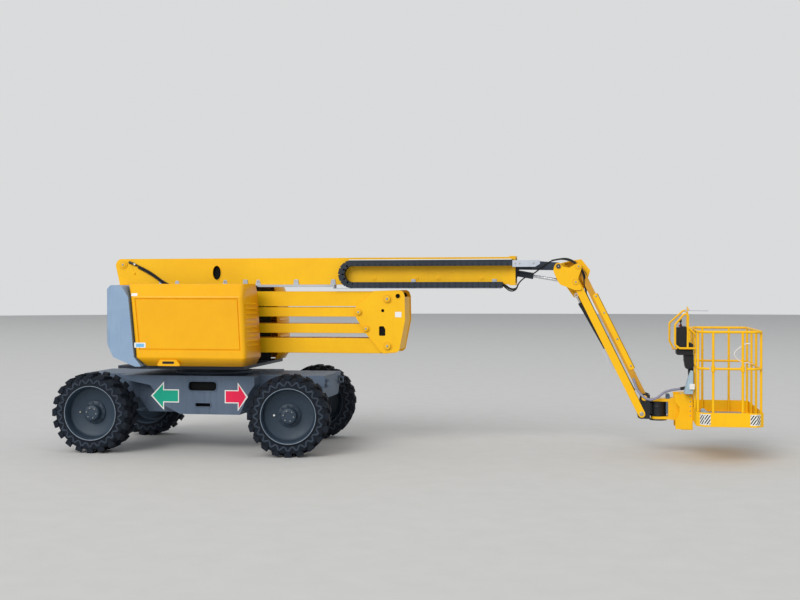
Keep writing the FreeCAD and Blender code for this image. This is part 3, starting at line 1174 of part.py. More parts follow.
def write(nodes):
    """Move each piece to the machine's frame and write it."""
    os.makedirs("parts", exist_ok=True)
    for name, shape in nodes.items():
        placed = shape.copy()
        placed.translate(Vector(-ORIGIN_X, 0, 0))
        placed.exportStep("parts/" + name + ".step")


write(build())
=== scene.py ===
"""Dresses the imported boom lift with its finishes, softened steelwork, hoods, tyres, rails, hoses and signs.

Every place is worked out from millimetres about the slewing axis, which is how the machine is set out.
"""

import json
import logging
import math
from dataclasses import dataclass, field
from enum import Enum
from typing import Any, Callable, Iterable, Optional, Sequence

import bmesh
import bpy
from mathutils import Matrix, Vector


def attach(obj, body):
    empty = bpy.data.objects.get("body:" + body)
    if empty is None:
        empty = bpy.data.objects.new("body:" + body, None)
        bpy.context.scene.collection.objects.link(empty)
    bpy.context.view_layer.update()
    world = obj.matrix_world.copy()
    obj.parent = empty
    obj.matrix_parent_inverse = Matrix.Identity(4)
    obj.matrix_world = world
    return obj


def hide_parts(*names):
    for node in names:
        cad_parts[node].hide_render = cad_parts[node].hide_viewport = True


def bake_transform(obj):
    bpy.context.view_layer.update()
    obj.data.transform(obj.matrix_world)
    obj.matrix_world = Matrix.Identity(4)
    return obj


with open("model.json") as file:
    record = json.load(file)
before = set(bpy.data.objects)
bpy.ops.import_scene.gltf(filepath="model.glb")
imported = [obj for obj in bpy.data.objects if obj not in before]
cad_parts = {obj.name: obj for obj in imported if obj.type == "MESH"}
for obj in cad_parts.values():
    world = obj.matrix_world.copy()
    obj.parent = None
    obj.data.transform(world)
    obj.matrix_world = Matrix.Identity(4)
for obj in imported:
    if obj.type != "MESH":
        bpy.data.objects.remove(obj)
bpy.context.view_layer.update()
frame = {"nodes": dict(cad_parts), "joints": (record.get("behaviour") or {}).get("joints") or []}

LOG = logging.getLogger("boom_lift")

MM = 0.001
SLEW_AXIS_X = -2.709
UP = Vector((0, 0, 1))
# Degrees past which an edge is sharp, and below which two faces are one flat face
SHARP = 32.0
FLAT = 0.4
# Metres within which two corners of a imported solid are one
WELD = 0.00005
Point = tuple[float, float, float]
Place = tuple[float, float]


def at(x: float, y: float, z: float) -> Vector:
    """Place in the machine's frame, in metres.

    Args:
        x: Millimetres ahead of the slewing axis.
        y: Millimetres to the far side.
        z: Millimetres above the ground.

    Returns:
        The place as a vector.
    """
    return Vector((x * MM + SLEW_AXIS_X, y * MM, z * MM))


class Side(Enum):
    """Side of the machine, by the sign of y."""

    NEAR = -1
    FAR = 1

    @property
    def tag(self) -> str:
        """The side's name as bodies and pieces have it."""
        return self.name.lower()


# Shader and geometry nodes


def put(
    tree: bpy.types.NodeTree, kind: str, inputs: Optional[dict[Any, Any]] = None, **settings: Any
) -> bpy.types.Node:
    """Adds one node with its settings, its socket values and its incoming links.

    Args:
        tree: Tree that the node goes into.
        kind: The node's type name.
        inputs: By socket name or number: a value, a socket that feeds it, or a node whose first output does.
        **settings: Properties of the node itself.

    Returns:
        The new node.
    """
    node = tree.nodes.new(kind)
    for key, value in settings.items():
        setattr(node, key, value)
    for key, given in (inputs or {}).items():
        source = given.outputs[0] if isinstance(given, bpy.types.Node) else given
        if isinstance(source, bpy.types.NodeSocket):
            tree.links.new(source, node.inputs[key])
        else:
            node.inputs[key].default_value = source
    return node


def emptied(holder: Any) -> bpy.types.NodeTree:
    """Switches a material or a world to nodes and clears them.

    Args:
        holder: The material or world.

    Returns:
        Its empty tree.
    """
    holder.use_nodes = True
    holder.node_tree.nodes.clear()
    return holder.node_tree


def linear(colour: str) -> tuple[float, float, float, float]:
    """Turns an sRGB hex colour into linear light.

    Args:
        colour: Six hex digits after a hash sign.

    Returns:
        Red, green, blue and alpha from 0 to 1.
    """
    parts = []
    for start in (1, 3, 5):
        value = int(colour[start : start + 2], 16) / 255
        parts.append(value / 12.92 if value <= 0.04045 else ((value + 0.055) / 1.055) ** 2.4)
    return (parts[0], parts[1], parts[2], 1.0)


@dataclass(frozen=True)
class Finish:
    """A surface as the real one is made: its colours, its sheen and the size of its grain."""

    name: str
    colour: str
    shade: str
    roughness: float
    grain_mm: float
    relief: float
    metallic: float = 0.0
    coat: float = 0.0
    coat_roughness: float = 0.15
    dust: str = "#8E8A80"
    dust_share: float = 0.12
    streaks: float = 0.0
    patch_mm: float = 420.0
    cellular: bool = False

    def build(self) -> bpy.types.Material:
        """Makes the material from this finish.

        Returns:
            The material, or the one already made under this name.
        """
        made = bpy.data.materials.get(self.name)
        if made is not None:
            return made
        material = bpy.data.materials.new(self.name)
        tree = emptied(material)
        where = put(tree, "ShaderNodeTexCoord").outputs["Object"]
        # Broad patches: sprayed and sun-faded areas differ a little in shade
        broad = {"Scale": 1000 / self.patch_mm, "Detail": 5.0, "Roughness": 0.6, "Vector": where}
        patches = put(tree, "ShaderNodeTexNoise", broad)
        patch_band = put(tree, "ShaderNodeMapRange", {"From Min": 0.32, "From Max": 0.72, "Value": patches})
        shades = {0: patch_band, 6: linear(self.colour), 7: linear(self.shade)}
        tone = put(tree, "ShaderNodeMix", shades, data_type="RGBA")
        # Dust: lies on faces that look up, and in a thinner film on every other face
        facing = put(tree, "ShaderNodeSeparateXYZ", {0: put(tree, "ShaderNodeNewGeometry").outputs["Normal"]})
        sky = {"From Min": 0.15, "From Max": 1.0, "To Min": 0.25, "To Max": 1.0, "Value": facing.outputs["Z"]}
        upward = put(tree, "ShaderNodeMapRange", sky)
        fine = {"Scale": 22.0, "Detail": 8.0, "Roughness": 0.68, "Vector": where}
        speckle = put(tree, "ShaderNodeTexNoise", fine)
        settled_dust = {"From Min": 0.35, "From Max": 0.85, "To Max": self.dust_share, "Value": speckle}
        film = put(tree, "ShaderNodeMapRange", settled_dust)
        dust_share = put(tree, "ShaderNodeMath", {0: film, 1: upward}, operation="MULTIPLY")
        dusting = {0: dust_share, 6: tone.outputs[2], 7: linear(self.dust)}
        colour = put(tree, "ShaderNodeMix", dusting, data_type="RGBA").outputs[2]
        if self.streaks > 0:
            # Streaks: rain and grime run down the sides, so the pattern is stretched along Z
            run = put(tree, "ShaderNodeMapping", {"Scale": (9.0, 9.0, 0.7), "Vector": where})
            long_noise = {"Scale": 2.4, "Detail": 6.0, "Roughness": 0.62, "Vector": run}
            drips = put(tree, "ShaderNodeTexNoise", long_noise)
            band = {"From Min": 0.54, "From Max": 0.74, "To Max": self.streaks, "Value": drips}
            grime = {0: put(tree, "ShaderNodeMapRange", band), 6: colour, 7: linear("#7C776B")}
            colour = put(tree, "ShaderNodeMix", grime, data_type="RGBA", blend_type="MULTIPLY").outputs[2]
        # Grain: orange peel, casting skin or moulding texture, at its real size in millimetres
        texture = {"Scale": 1000 / self.grain_mm, "Vector": where}
        if self.cellular:
            grain = put(tree, "ShaderNodeTexVoronoi", texture)
        else:
            grain = put(tree, "ShaderNodeTexNoise", {**texture, "Detail": 3.0})
        relief = put(tree, "ShaderNodeBump", {"Strength": self.relief, "Distance": MM, "Height": grain})
        low, high = max(0.03, self.roughness - 0.05), min(1.0, self.roughness + 0.14)
        sheen = {"From Min": 0.3, "From Max": 0.8, "To Min": low, "To Max": high, "Value": speckle}
        surface = put(
            tree,
            "ShaderNodeBsdfPrincipled",
            {
                "Base Color": colour,
                "Roughness": put(tree, "ShaderNodeMapRange", sheen),
                "Normal": relief,
                "Metallic": self.metallic,
                "Specular IOR Level": 0.5 if self.metallic > 0.5 else 0.28,
                "Coat Weight": self.coat,
                "Coat Roughness": self.coat_roughness,
            },
        )
        put(tree, "ShaderNodeOutputMaterial", {"Surface": surface})
        material.diffuse_color = linear(self.colour)
        return material


# Two-pack enamel sprayed on steel: deep yellow, a soft gloss and a fine orange peel
ENAMEL = Finish("sprayed_yellow_enamel", "#F9C000", "#F1B600", 0.4, 7, 0.05, dust_share=0.05, streaks=0.05)
# The same enamel made darker: painted shade inside a channel, and in the thin ring round each pin cap
PAINTED_SHADE_ENAMEL = Finish("rubbed_yellow_enamel", "#D9A02A", "#C28C22", 0.55, 9, 0.1, dust_share=0.3, streaks=0.3)
# ABS moulding with a gloss skin: smoother and a shade deeper than the enamel on steel
HOOD_SKIN = Finish(
    "moulded_yellow_abs", "#F3B200", "#EDAA00", 0.34, 11, 0.035, dust_share=0.04, streaks=0.04
)
# Cast iron under a thick pale coat: the sand's skin shows through
CASTING = Finish("painted_iron_casting", "#8FA7C1", "#839CB8", 0.5, 5, 0.22, dust_share=0.12, streaks=0.2)
# Satin chassis enamel on flame-cut plate
CHASSIS_PAINT = Finish(
    "satin_slate_enamel", "#5C6C80", "#506074", 0.46, 8, 0.07, dust_share=0.25, streaks=0.25
)
# Dark satin enamel of the inner boom; on the turntable the same dark is painted shade, for the gap seen
# between the hoods and the arms
DARK_ENAMEL_AND_SHADE = Finish("satin_dark_enamel", "#2B3543", "#232C39", 0.42, 8, 0.06, dust_share=0.22, streaks=0.15)
# Dark wheel enamel, dusty from the yard
WHEEL_PAINT = Finish("dark_wheel_enamel", "#30404F", "#283543", 0.45, 7, 0.1, dust="#5F676F", dust_share=0.35)
# The same enamel made pale at the rim's lip: partly its edge worn bright, partly a painted edge highlight
WORN_AND_HIGHLIT_WHEEL = Finish("worn_wheel_enamel", "#8E9AA6", "#727F8C", 0.4, 6, 0.12, dust_share=0.3, patch_mm=60)
# Vulcanised solid rubber: matt, scuffed and greyed by dust
RUBBER = Finish(
    "vulcanised_tyre_rubber", "#161D28", "#10161F", 0.85, 4, 0.4, dust="#39424C", dust_share=0.3, patch_mm=140
)
# The tyre's raised ridges, where dust has settled and dried
DUSTY_RUBBER = Finish(
    "dusty_tyre_rubber", "#38424F", "#2A323D", 0.85, 4, 0.4, dust="#5D666F", dust_share=0.5, patch_mm=90
)
# Black enamel on cylinders and the actuator
BLACK_PAINT = Finish("black_cylinder_enamel", "#15181D", "#101217", 0.36, 6, 0.06, coat=0.2, dust_share=0.15)
# Hard chrome, ground and polished round the rod
CHROME = Finish("ground_hard_chrome", "#E2E4E6", "#D6D8DB", 0.16, 2, 0.02, metallic=1.0, dust_share=0.04)
# Hot-dip zinc: the spangle shows as pale and dark crystals about 12 mm wide
ZINC = Finish(
    "hot_dip_zinc", "#B4B9BF", "#A3A8AE", 0.42, 12, 0.1, metallic=0.6, dust_share=0.2, cellular=True
)
# Pale grey enamel on sheet steel
PALE_SHEET = Finish("pale_grey_enamel", "#C3C8D2", "#B5BBC7", 0.45, 8, 0.05, dust_share=0.15, streaks=0.1)
# Bright zinc on bolts, nuts and clips
BOLT_ZINC = Finish("bright_zinc_plate", "#BDBBB0", "#A3A196", 0.35, 3, 0.08, metallic=0.85, dust_share=0.15)
# Glass-filled polyamide of the energy chain
CHAIN_NYLON = Finish("moulded_polyamide", "#28313D", "#202833", 0.5, 3, 0.12, dust="#6A6A60", dust_share=0.35)
# Rubber hose cover
HOSE_RUBBER = Finish("extruded_hose_rubber", "#16181B", "#0F1113", 0.58, 2, 0.15, dust_share=0.25)
# Corrugated conduit in grey polyamide
CONDUIT = Finish("corrugated_polyamide", "#9A9AAE", "#8A8A9E", 0.6, 3, 0.1, dust_share=0.25)
# Black texture-moulded housing of the controls
HOUSING = Finish("textured_black_abs", "#181B20", "#121418", 0.6, 1.6, 0.3, dust_share=0.18)
# Pale blue-grey cover of the foot switch
PALE_COVER = Finish("moulded_pale_abs", "#A9C0CE", "#99B1C0", 0.5, 5, 0.08, dust_share=0.25)
# White film, clear-coated
WHITE_FILM = Finish("white_vinyl_film", "#EDEDE9", "#E2E2DD", 0.4, 30, 0.02, dust_share=0.08)
# Sign colours on film
GREEN_FILM = Finish("green_vinyl_film", "#06A88B", "#059C80", 0.38, 30, 0.02, dust_share=0.06)
RED_FILM = Finish("red_vinyl_film", "#EC1D4F", "#DE1A49", 0.38, 30, 0.02, dust_share=0.06)
BLACK_FILM = Finish("black_vinyl_film", "#17181A", "#121315", 0.4, 30, 0.02, dust_share=0.1)
PALE_FILM = Finish("pale_blue_vinyl_film", "#7FC0EA", "#6DB1DE", 0.38, 30, 0.02, dust_share=0.06)
# Machinery enamel under the hoods
MACHINERY = Finish("dark_machinery_enamel", "#2A2D31", "#1F2225", 0.5, 6, 0.12, dust_share=0.4, streaks=0.3)
# Black plates inside the hollow sections: painted shade that makes the openings read as holes
PAINTED_SHADE_BLACK = Finish("black_inside_primer", "#08090B", "#060709", 0.9, 6, 0.1, dust_share=0.04)
# Signal-red button cap, moulded
RED_CAP = Finish("moulded_red_cap", "#C41A1E", "#B01619", 0.35, 6, 0.04, dust_share=0.08)


# Mesh making


def shown(name: str, data: Any) -> bpy.types.Object:
    """Puts an object into the scene.

    Args:
        name: The object's name.
        data: Its mesh, curve, lamp or camera.

    Returns:
        The object.
    """
    made = bpy.data.objects.new(name, data)
    bpy.context.scene.collection.objects.link(made)
    return made


def settled(shape: bmesh.types.BMesh, name: str) -> bpy.types.Mesh:
    """Turns an edited shape into a mesh and lets the shape go.

    Args:
        shape: The shape.
        name: The mesh's name.

    Returns:
        The mesh.
    """
    mesh = bpy.data.meshes.new(name)
    shape.to_mesh(mesh)
    shape.free()
    return mesh


def plain_mesh(holder: bpy.types.Object) -> bpy.types.Mesh:
    """Reads an object with its modifiers as a plain mesh.

    Args:
        holder: Object in the scene.

    Returns:
        The mesh.
    """
    bpy.context.view_layer.update()
    return bpy.data.meshes.new_from_object(holder.evaluated_get(bpy.context.evaluated_depsgraph_get()))


def break_edges(made: bpy.types.Object, width: float, segments: int, limit: str = "ANGLE") -> None:
    """Bevels the edges of a piece.

    Args:
        made: The piece.
        width: Millimetres.
        segments: Faces across each bevel.
        limit: ANGLE for every sharp edge, or WEIGHT for the marked ones.
    """
    bevel = made.modifiers.new("edges", "BEVEL")
    bevel.width = width * MM
    bevel.segments = segments
    bevel.limit_method = limit
    bevel.angle_limit = math.radians(SHARP)
    bevel.harden_normals = True


class Form:
    """Gathers closed shapes of one piece before it becomes an object."""

    def __init__(self) -> None:
        """Starts with no shapes."""
        self.mesh = bmesh.new()
        self.slot = 0

    def take(self, corners: Sequence[Vector], faces: Sequence[Sequence[int]], smooth: bool = False) -> None:
        """Adds one closed shape.

        Args:
            corners: Places of its corners, in metres.
            faces: Corner numbers of each face.
            smooth: Whether its faces are shaded as one curved surface.
        """
        points = [self.mesh.verts.new(corner) for corner in corners]
        made = []
        for face in faces:
            shape = self.mesh.faces.new([points[index] for index in face])
            shape.material_index = self.slot
            shape.smooth = smooth
            made.append(shape)
        bmesh.ops.recalc_face_normals(self.mesh, faces=made)

    def block(self, low: Vector, high: Vector) -> None:
        """Adds a box between two corners.

        Args:
            low: One corner.
            high: The corner across from it.
        """
        ends = list(zip(low, high))
        corners = [Vector((x, y, z)) for x in ends[0] for y in ends[1] for z in ends[2]]
        faces = [(0, 1, 3, 2), (4, 6, 7, 5), (0, 4, 5, 1), (2, 3, 7, 6), (0, 2, 6, 4), (1, 5, 7, 3)]
        self.take(corners, faces)

    def drawn(self, outline: Sequence[Vector], depth: Vector) -> None:
        """Adds a flat outline drawn out along a vector.

        Args:
            outline: Corners of the outline in order.
            depth: How far and which way it is drawn.
        """
        count = len(outline)
        corners = list(outline) + [corner + depth for corner in outline]
        faces: list[tuple[int, ...]] = [tuple(range(count)), tuple(range(2 * count - 1, count - 1, -1))]
        for index in range(count):
            other = (index + 1) % count
            faces.append((index, other, other + count, index + count))
        self.take(corners, faces)

    def side_plate(self, outline: Sequence[Place], y_from: float, y_to: float) -> None:
        """Adds a plate drawn across the machine.

        Args:
            outline: Corners as (x, z) in millimetres.
            y_from: Millimetres at one face.
            y_to: Millimetres at the other face.
        """
        self.drawn([at(x, y_from, z) for x, z in outline], Vector((0, (y_to - y_from) * MM, 0)))

    def lathe(
        self, centre: Vector, axis: Vector, profile: Sequence[Place], sides: int = 48, closed: bool = False
    ) -> None:
        """Adds a turned shape.

        Args:
            centre: Where the profile's distances are counted from.
            axis: Unit vector that it turns about.
            profile: Columns are millimetres along the axis and radius in millimetres.
            sides: Steps round the axis.
            closed: Whether the profile is a loop, as on a tyre, or ends on the axis.
        """
        across = axis.orthogonal().normalized()
        upward = axis.cross(across).normalized()
        corners: list[Vector] = []
        rings: list[list[int]] = []
        for along, radius in profile:
            base = centre + axis * along * MM
            if radius <= 0:
                corners.append(base)
                rings.append([len(corners) - 1] * sides)
                continue
            ring = []
            for step in range(sides):
                angle = 2 * math.pi * step / sides
                corners.append(base + (across * math.cos(angle) + upward * math.sin(angle)) * radius * MM)
                ring.append(len(corners) - 1)
            rings.append(ring)
        faces: list[list[int]] = []
        pairs = list(zip(rings, rings[1:]))
        if closed:
            pairs.append((rings[-1], rings[0]))
        for first, second in pairs:
            for step in range(sides):
                other = (step + 1) % sides
                face = [first[step], first[other], second[other], second[step]]
                unique = list(dict.fromkeys(face))
                if len(unique) > 2:
                    faces.append(unique)
        if not closed:
            for ring in (rings[0], rings[-1]):
                if len(set(ring)) > 2:
                    faces.append(ring)
        self.take(corners, faces, smooth=True)

    def pin(self, start: Vector, end: Vector, radius: float, chamfer: float = 2.0, sides: int = 40) -> None:
        """Adds a round bar with broken edges.

        Args:
            start: Middle of one end.
            end: Middle of the other end.
            radius: Millimetres.
            chamfer: Millimetres taken off each edge.
            sides: Steps round it.
        """
        run = (end - start).length / MM
        shy = radius - chamfer
        profile = [(0, shy), (chamfer, radius), (run - chamfer, radius), (run, shy)]
        self.lathe(start, (end - start).normalized(), profile, sides)

    def tube(
        self, route: Sequence[Vector], radius: Callable[[float], float] | float, sides: int = 14
    ) -> None:
        """Adds a round tube along a line of points.

        Args:
            route: Points in order, in metres.
            radius: Millimetres, or a function of millimetres along the line.
            sides: Steps round it.
        """
        side = None
        corners: list[Vector] = []
        travelled = 0.0
        for index, place in enumerate(route):
            before = route[max(0, index - 1)]
            after = route[min(len(route) - 1, index + 1)]
            tangent = (after - before).normalized()
            side = tangent.orthogonal() if side is None else side - tangent * side.dot(tangent)
            side.normalize()
            upward = tangent.cross(side)
            travelled += (place - before).length / MM if index else 0.0
            reach = (radius(travelled) if callable(radius) else radius) * MM
            for step in range(sides):
                angle = 2 * math.pi * step / sides
                corners.append(place + (side * math.cos(angle) + upward * math.sin(angle)) * reach)
        faces: list[Sequence[int]] = []
        for index in range(len(route) - 1):
            for step in range(sides):
                other = (step + 1) % sides
                low = index * sides
                faces.append((low + step, low + other, low + sides + other, low + sides + step))
        faces.append(range(sides))
        faces.append(range(len(corners) - sides, len(corners)))
        self.take(corners, faces, smooth=True)

    def hex_head(self, seat: Vector, axis: Vector, across_flats: float, height: float) -> None:
        """Adds a hexagon head on its washer.

        Args:
            seat: Middle of the face that it is screwed on to.
            axis: Unit vector out of that face.
            across_flats: Millimetres.
            height: Millimetres.
        """
        washer = [(0, across_flats * 0.66), (height * 0.2, across_flats * 0.66)]
        self.lathe(seat, axis, washer, 20)
        rows = ((0.2, 0.577), (0.86, 0.577), (1, 0.48))
        self.lathe(seat, axis, [(height * up, across_flats * out) for up, out in rows], 6)

    def piece(
        self, name: str, body: Optional[str], finishes: Sequence[Finish], edge: float = 0.0, segments: int = 2
    ) -> bpy.types.Object:
        """Makes the object from what was gathered.

        Args:
            name: The piece's name.
            body: Body that it rides on, or None where it is blended or built further.
            finishes: Finishes by slot number.
            edge: Bevel of its sharp edges in millimetres, or 0 for none.
            segments: Faces across each bevel.

        Returns:
            The new object.
        """
        made = place_mesh(settled(self.mesh, name), name, body, finishes)
        if edge > 0:
            break_edges(made, edge, segments)
        return made


def place_mesh(
    mesh: bpy.types.Mesh, name: str, body: Optional[str], finishes: Sequence[Finish]
) -> bpy.types.Object:
    """Puts a mesh in the scene with its finishes and body.

    Args:
        mesh: The finished mesh.
        name: The piece's name.
        body: Body that it rides on, or None.
        finishes: Finishes by slot number.

    Returns:
        The new object.
    """
    mesh.set_sharp_from_angle(angle=math.radians(SHARP))
    for finish in finishes:
        mesh.materials.append(finish.build())
    made = shown(name, mesh)
    if body is not None:
        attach(made, body)
    LOG.info("%s: %d faces on %s", name, len(mesh.polygons), body)
    return made


def flattened(shape: bmesh.types.BMesh) -> bmesh.types.BMesh:
    """Merges the flat faces of a shape and shades it as one surface.

    Args:
        shape: The shape.

    Returns:
        The same shape.
    """
    bmesh.ops.dissolve_limit(shape, angle_limit=math.radians(FLAT), verts=shape.verts, edges=shape.edges)
    for face in shape.faces:
        face.smooth = True
        face.material_index = 0
    return shape


def merged_copy(node: str) -> bmesh.types.BMesh:
    """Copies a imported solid's mesh and merges its loose triangles into whole faces.

    Args:
        node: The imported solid's name.

    Returns:
        The merged copy.
    """
    source = frame["nodes"][node].data
    copy = bmesh.new()
    points = [copy.verts.new(vertex.co) for vertex in source.vertices]
    for polygon in source.polygons:
        if len(set(polygon.vertices)) == 3:
            copy.faces.new([points[index] for index in polygon.vertices])
    bmesh.ops.remove_doubles(copy, verts=copy.verts, dist=WELD)
    return flattened(copy)


def carved(solid: bmesh.types.BMesh, cuts: Form) -> bmesh.types.BMesh:
    """Cuts holes in a copied solid.

    Args:
        solid: The merged copy, which is used up.
        cuts: Closed shapes that are taken out of it, used up too.

    Returns:
        What is left of the solid.
    """
    whole = shown("whole", settled(solid, "whole"))
    tool = shown("cuts", settled(cuts.mesh, "cuts"))
    modifier = whole.modifiers.new("cut", "BOOLEAN")
    modifier.operation = "DIFFERENCE"
    modifier.solver = "EXACT"
    modifier.object = tool
    result = plain_mesh(whole)
    left = bmesh.new()
    left.from_mesh(result)
    for mesh in (whole.data, tool.data, result):
        bpy.data.meshes.remove(mesh)
    return flattened(left)


def soften(
    node: str,
    body: str,
    finish: Finish,
    edge: float,
    longer_than: float = 25.0,
    cuts: Optional[Form] = None,
    name: Optional[str] = None,
    sharp: float = SHARP,
    segments: int = 2,
) -> None:
    """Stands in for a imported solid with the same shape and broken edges, as cut and ground steel has.

    Args:
        node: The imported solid's name.
        body: Body that it rides on.
        finish: Finish of the whole piece.
        edge: Width of the broken edge in millimetres.
        longer_than: Shortest edge in millimetres that is broken.
        cuts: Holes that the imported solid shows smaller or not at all.
        name: The piece's name, or None for the solid's name with _steel.
        sharp: Degrees past which an edge is broken.
        segments: Faces across each broken edge.
    """
    copy = merged_copy(node)
    if cuts is not None:
        copy = carved(copy, cuts)
    weights = copy.edges.layers.float.new("bevel_weight_edge")
    for line in copy.edges:
        if len(line.link_faces) == 2 and line.calc_face_angle(0.0) > math.radians(sharp):
            if line.calc_length() > longer_than * MM:
                line[weights] = 1.0
    name = name or node + "_steel"
    made = place_mesh(settled(copy, name), name, body, [finish])
    break_edges(made, edge, segments, "WEIGHT")
    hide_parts(node)


def rounded(outline: Sequence[Place], radius: float, steps: int = 5) -> list[Place]:
    """Outline of a plate whose corners are ground round.

    Args:
        outline: Corners in millimetres, in order.
        radius: Millimetres, less where an edge is short.
        steps: Lines round each corner.

    Returns:
        The outline with its round corners.
    """
    result: list[Place] = []
    count = len(outline)
    for index, (x, z) in enumerate(outline):
        corner = Vector((x, z))
        into = corner - Vector(outline[index - 1])
        out = Vector(outline[(index + 1) % count]) - corner
        turn = into.angle(out)
        cut = min(radius * math.tan(turn / 2), into.length * 0.45, out.length * 0.45)
        start = corner - into.normalized() * cut
        end = corner + out.normalized() * cut
        for step in range(steps + 1):
            share = step / steps
            place = start.lerp(corner, share).lerp(corner.lerp(end, share), share)
            result.append((place.x, place.y))
    return result


def oval(x: float, z: float, half_x: float, half_z: float, sides: int = 32) -> list[Place]:
    """Outline of an ellipse.

    Args:
        x: Millimetres to its middle.
        z: Millimetres up to its middle.
        half_x: Half its length.
        half_z: Half its height.
        sides: Lines round it.

    Returns:
        The outline.
    """
    angles = [2 * math.pi * step / sides for step in range(sides)]
    return [(x + half_x * math.cos(angle), z + half_z * math.sin(angle)) for angle in angles]


# Repeats and tubes by geometry nodes


class Repeat(Enum):
    """Ways in which one shape is repeated."""

    RING = "ring"
    ROW = "row"


def opened_tree(name: str, kinds: dict[str, str]) -> bpy.types.NodeTree:
    """Starts a geometry tree with named inputs.

    Args:
        name: The tree's name.
        kinds: Kind of each input after the geometry, by its name.

    Returns:
        The tree.
    """
    tree = bpy.data.node_groups.new(name, "GeometryNodeTree")
    tree.interface.new_socket("Geometry", in_out="OUTPUT", socket_type="NodeSocketGeometry")
    for socket, kind in {"Geometry": "Geometry", **kinds, "Finish": "Material"}.items():
        tree.interface.new_socket(socket, in_out="INPUT", socket_type="NodeSocket" + kind)
    return tree


def closed_tree(tree: bpy.types.NodeTree, made: bpy.types.Node, finish: bpy.types.NodeSocket) -> None:
    """Ends a geometry tree in real, finished geometry.

    Args:
        tree: The tree.
        made: Node that gives what was made.
        finish: Socket that gives the material.
    """
    real = put(tree, "GeometryNodeRealizeInstances", {0: made})
    painted = put(tree, "GeometryNodeSetMaterial", {"Geometry": real, "Material": finish})
    put(tree, "NodeGroupOutput", {0: painted})


def worked(shape: bpy.types.Object, tree: bpy.types.NodeTree, sizes: dict[str, Any]) -> bpy.types.Mesh:
    """Runs a geometry tree on an object, which keeps its own mesh.

    Args:
        shape: Object in the scene.
        tree: The tree.
        sizes: Values of its inputs by their names.

    Returns:
        The plain mesh that comes out.
    """
    modifier = shape.modifiers.new("tree", "NODES")
    modifier.node_group = tree
    for item in tree.interface.items_tree:
        if item.in_out == "INPUT" and item.name in sizes:
            modifier[item.identifier] = sizes[item.name]
    made = plain_mesh(shape)
    shape.modifiers.remove(modifier)
    return made


def repeat_tree(way: Repeat) -> bpy.types.NodeTree:
    """Makes the tree that repeats a shape, once for each way.

    Args:
        way: How the shape is repeated.

    Returns:
        The tree, with named inputs for its sizes.
    """
    name = "repeat_" + way.value
    found = bpy.data.node_groups.get(name)
    if found is not None:
        return found
    tree = opened_tree(name, {"Count": "Int", "Step": "Float", "Direction": "Vector", "Centre": "Vector"})
    given = put(tree, "NodeGroupInput").outputs
    away = put(tree, "ShaderNodeVectorMath", {0: given["Centre"], "Scale": -1.0}, operation="SCALE")
    shape = put(tree, "GeometryNodeTransform", {"Geometry": given["Geometry"], "Translation": away})
    index = put(tree, "GeometryNodeInputIndex")
    amount = put(tree, "ShaderNodeMath", {0: index, 1: given["Step"]}, operation="MULTIPLY")
    placing: dict[str, Any] = {"Instance": shape}
    if way is Repeat.RING:
        spot = given["Centre"]
        turn = {"Axis": given["Direction"], "Angle": amount}
        placing["Rotation"] = put(tree, "FunctionNodeAxisAngleToRotation", turn)
    else:
        shift = put(tree, "ShaderNodeVectorMath", {0: given["Direction"], "Scale": amount}, operation="SCALE")
        spot = put(tree, "ShaderNodeVectorMath", {0: given["Centre"], 1: shift}, operation="ADD")
    placing["Points"] = put(tree, "GeometryNodePoints", {"Count": given["Count"], "Position": spot})
    closed_tree(tree, put(tree, "GeometryNodeInstanceOnPoints", placing), given["Finish"])
    return tree


def repeated(
    shape: bpy.types.Object,
    way: Repeat,
    body: Optional[str],
    finish: Finish,
    count: int,
    step: float,
    direction: Iterable[float],
    centre: Iterable[float] = (0, 0, 0),
) -> None:
    """Repeats a shape and turns the result into a plain mesh.

    Args:
        shape: Object with the one shape, in place for the first copy.
        way: How it is repeated.
        body: Body that the result rides on, or None.
        finish: Finish of every copy.
        count: Number of copies.
        step: Angle in radians, or metres between copies.
        direction: Axis of a ring, or direction of a row.
        centre: Middle of a ring, or origin of the shape.
    """
    sizes = {"Count": count, "Step": float(step), "Direction": tuple(direction), "Centre": tuple(centre)}
    shape.data = worked(shape, repeat_tree(way), {**sizes, "Finish": finish.build()})
    if body is not None:
        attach(shape, body)
    LOG.info("%s: %d faces repeated", shape.name, len(shape.data.polygons))


def route_line(points: Sequence[Point], resolution: int = 14) -> list[Vector]:
    """Reads the smooth line that a few control points give.

    Args:
        points: Control points in millimetres about the slewing axis.
        resolution: Points read for each span.

    Returns:
        Points along the NURBS spline, in metres.
    """
    curve = bpy.data.curves.new("route", "CURVE")
    curve.dimensions = "3D"
    curve.resolution_u = resolution
    spline = curve.splines.new("NURBS")
    spline.points.add(len(points) - 1)
    for target, point in zip(spline.points, points):
        target.co = (*at(*point), 1.0)
    spline.order_u = 3
    spline.use_endpoint_u = True
    holder = shown("route", curve)
    line = plain_mesh(holder)
    found = [vertex.co.copy() for vertex in line.vertices]
    bpy.data.objects.remove(holder)
    bpy.data.curves.remove(curve)
    bpy.data.meshes.remove(line)
    return found


def pipe_tree() -> bpy.types.NodeTree:
    """Makes the tree that turns a line with corners into a steel tube with pressed bends.

    Returns:
        The tree, with named inputs for its sizes.
    """
    found = bpy.data.node_groups.get("pressed_pipe")
    if found is not None:
        return found
    tree = opened_tree("pressed_pipe", {"Bend": "Float", "Radius": "Float", "Sides": "Int"})
    given = put(tree, "NodeGroupInput").outputs
    line = put(tree, "GeometryNodeMeshToCurve", {0: given["Geometry"]})
    steps = {0: line, "Count": 6, "Limit Radius": True, "Radius": given["Bend"]}
    bent = put(tree, "GeometryNodeFilletCurve", steps, mode="POLY")
    round_bar = {"Resolution": given["Sides"], "Radius": given["Radius"]}
    section = put(tree, "GeometryNodeCurvePrimitiveCircle", round_bar)
    swept = {"Curve": bent, "Profile Curve": section, "Fill Caps": True}
    closed_tree(tree, put(tree, "GeometryNodeCurveToMesh", swept), given["Finish"])
    return tree


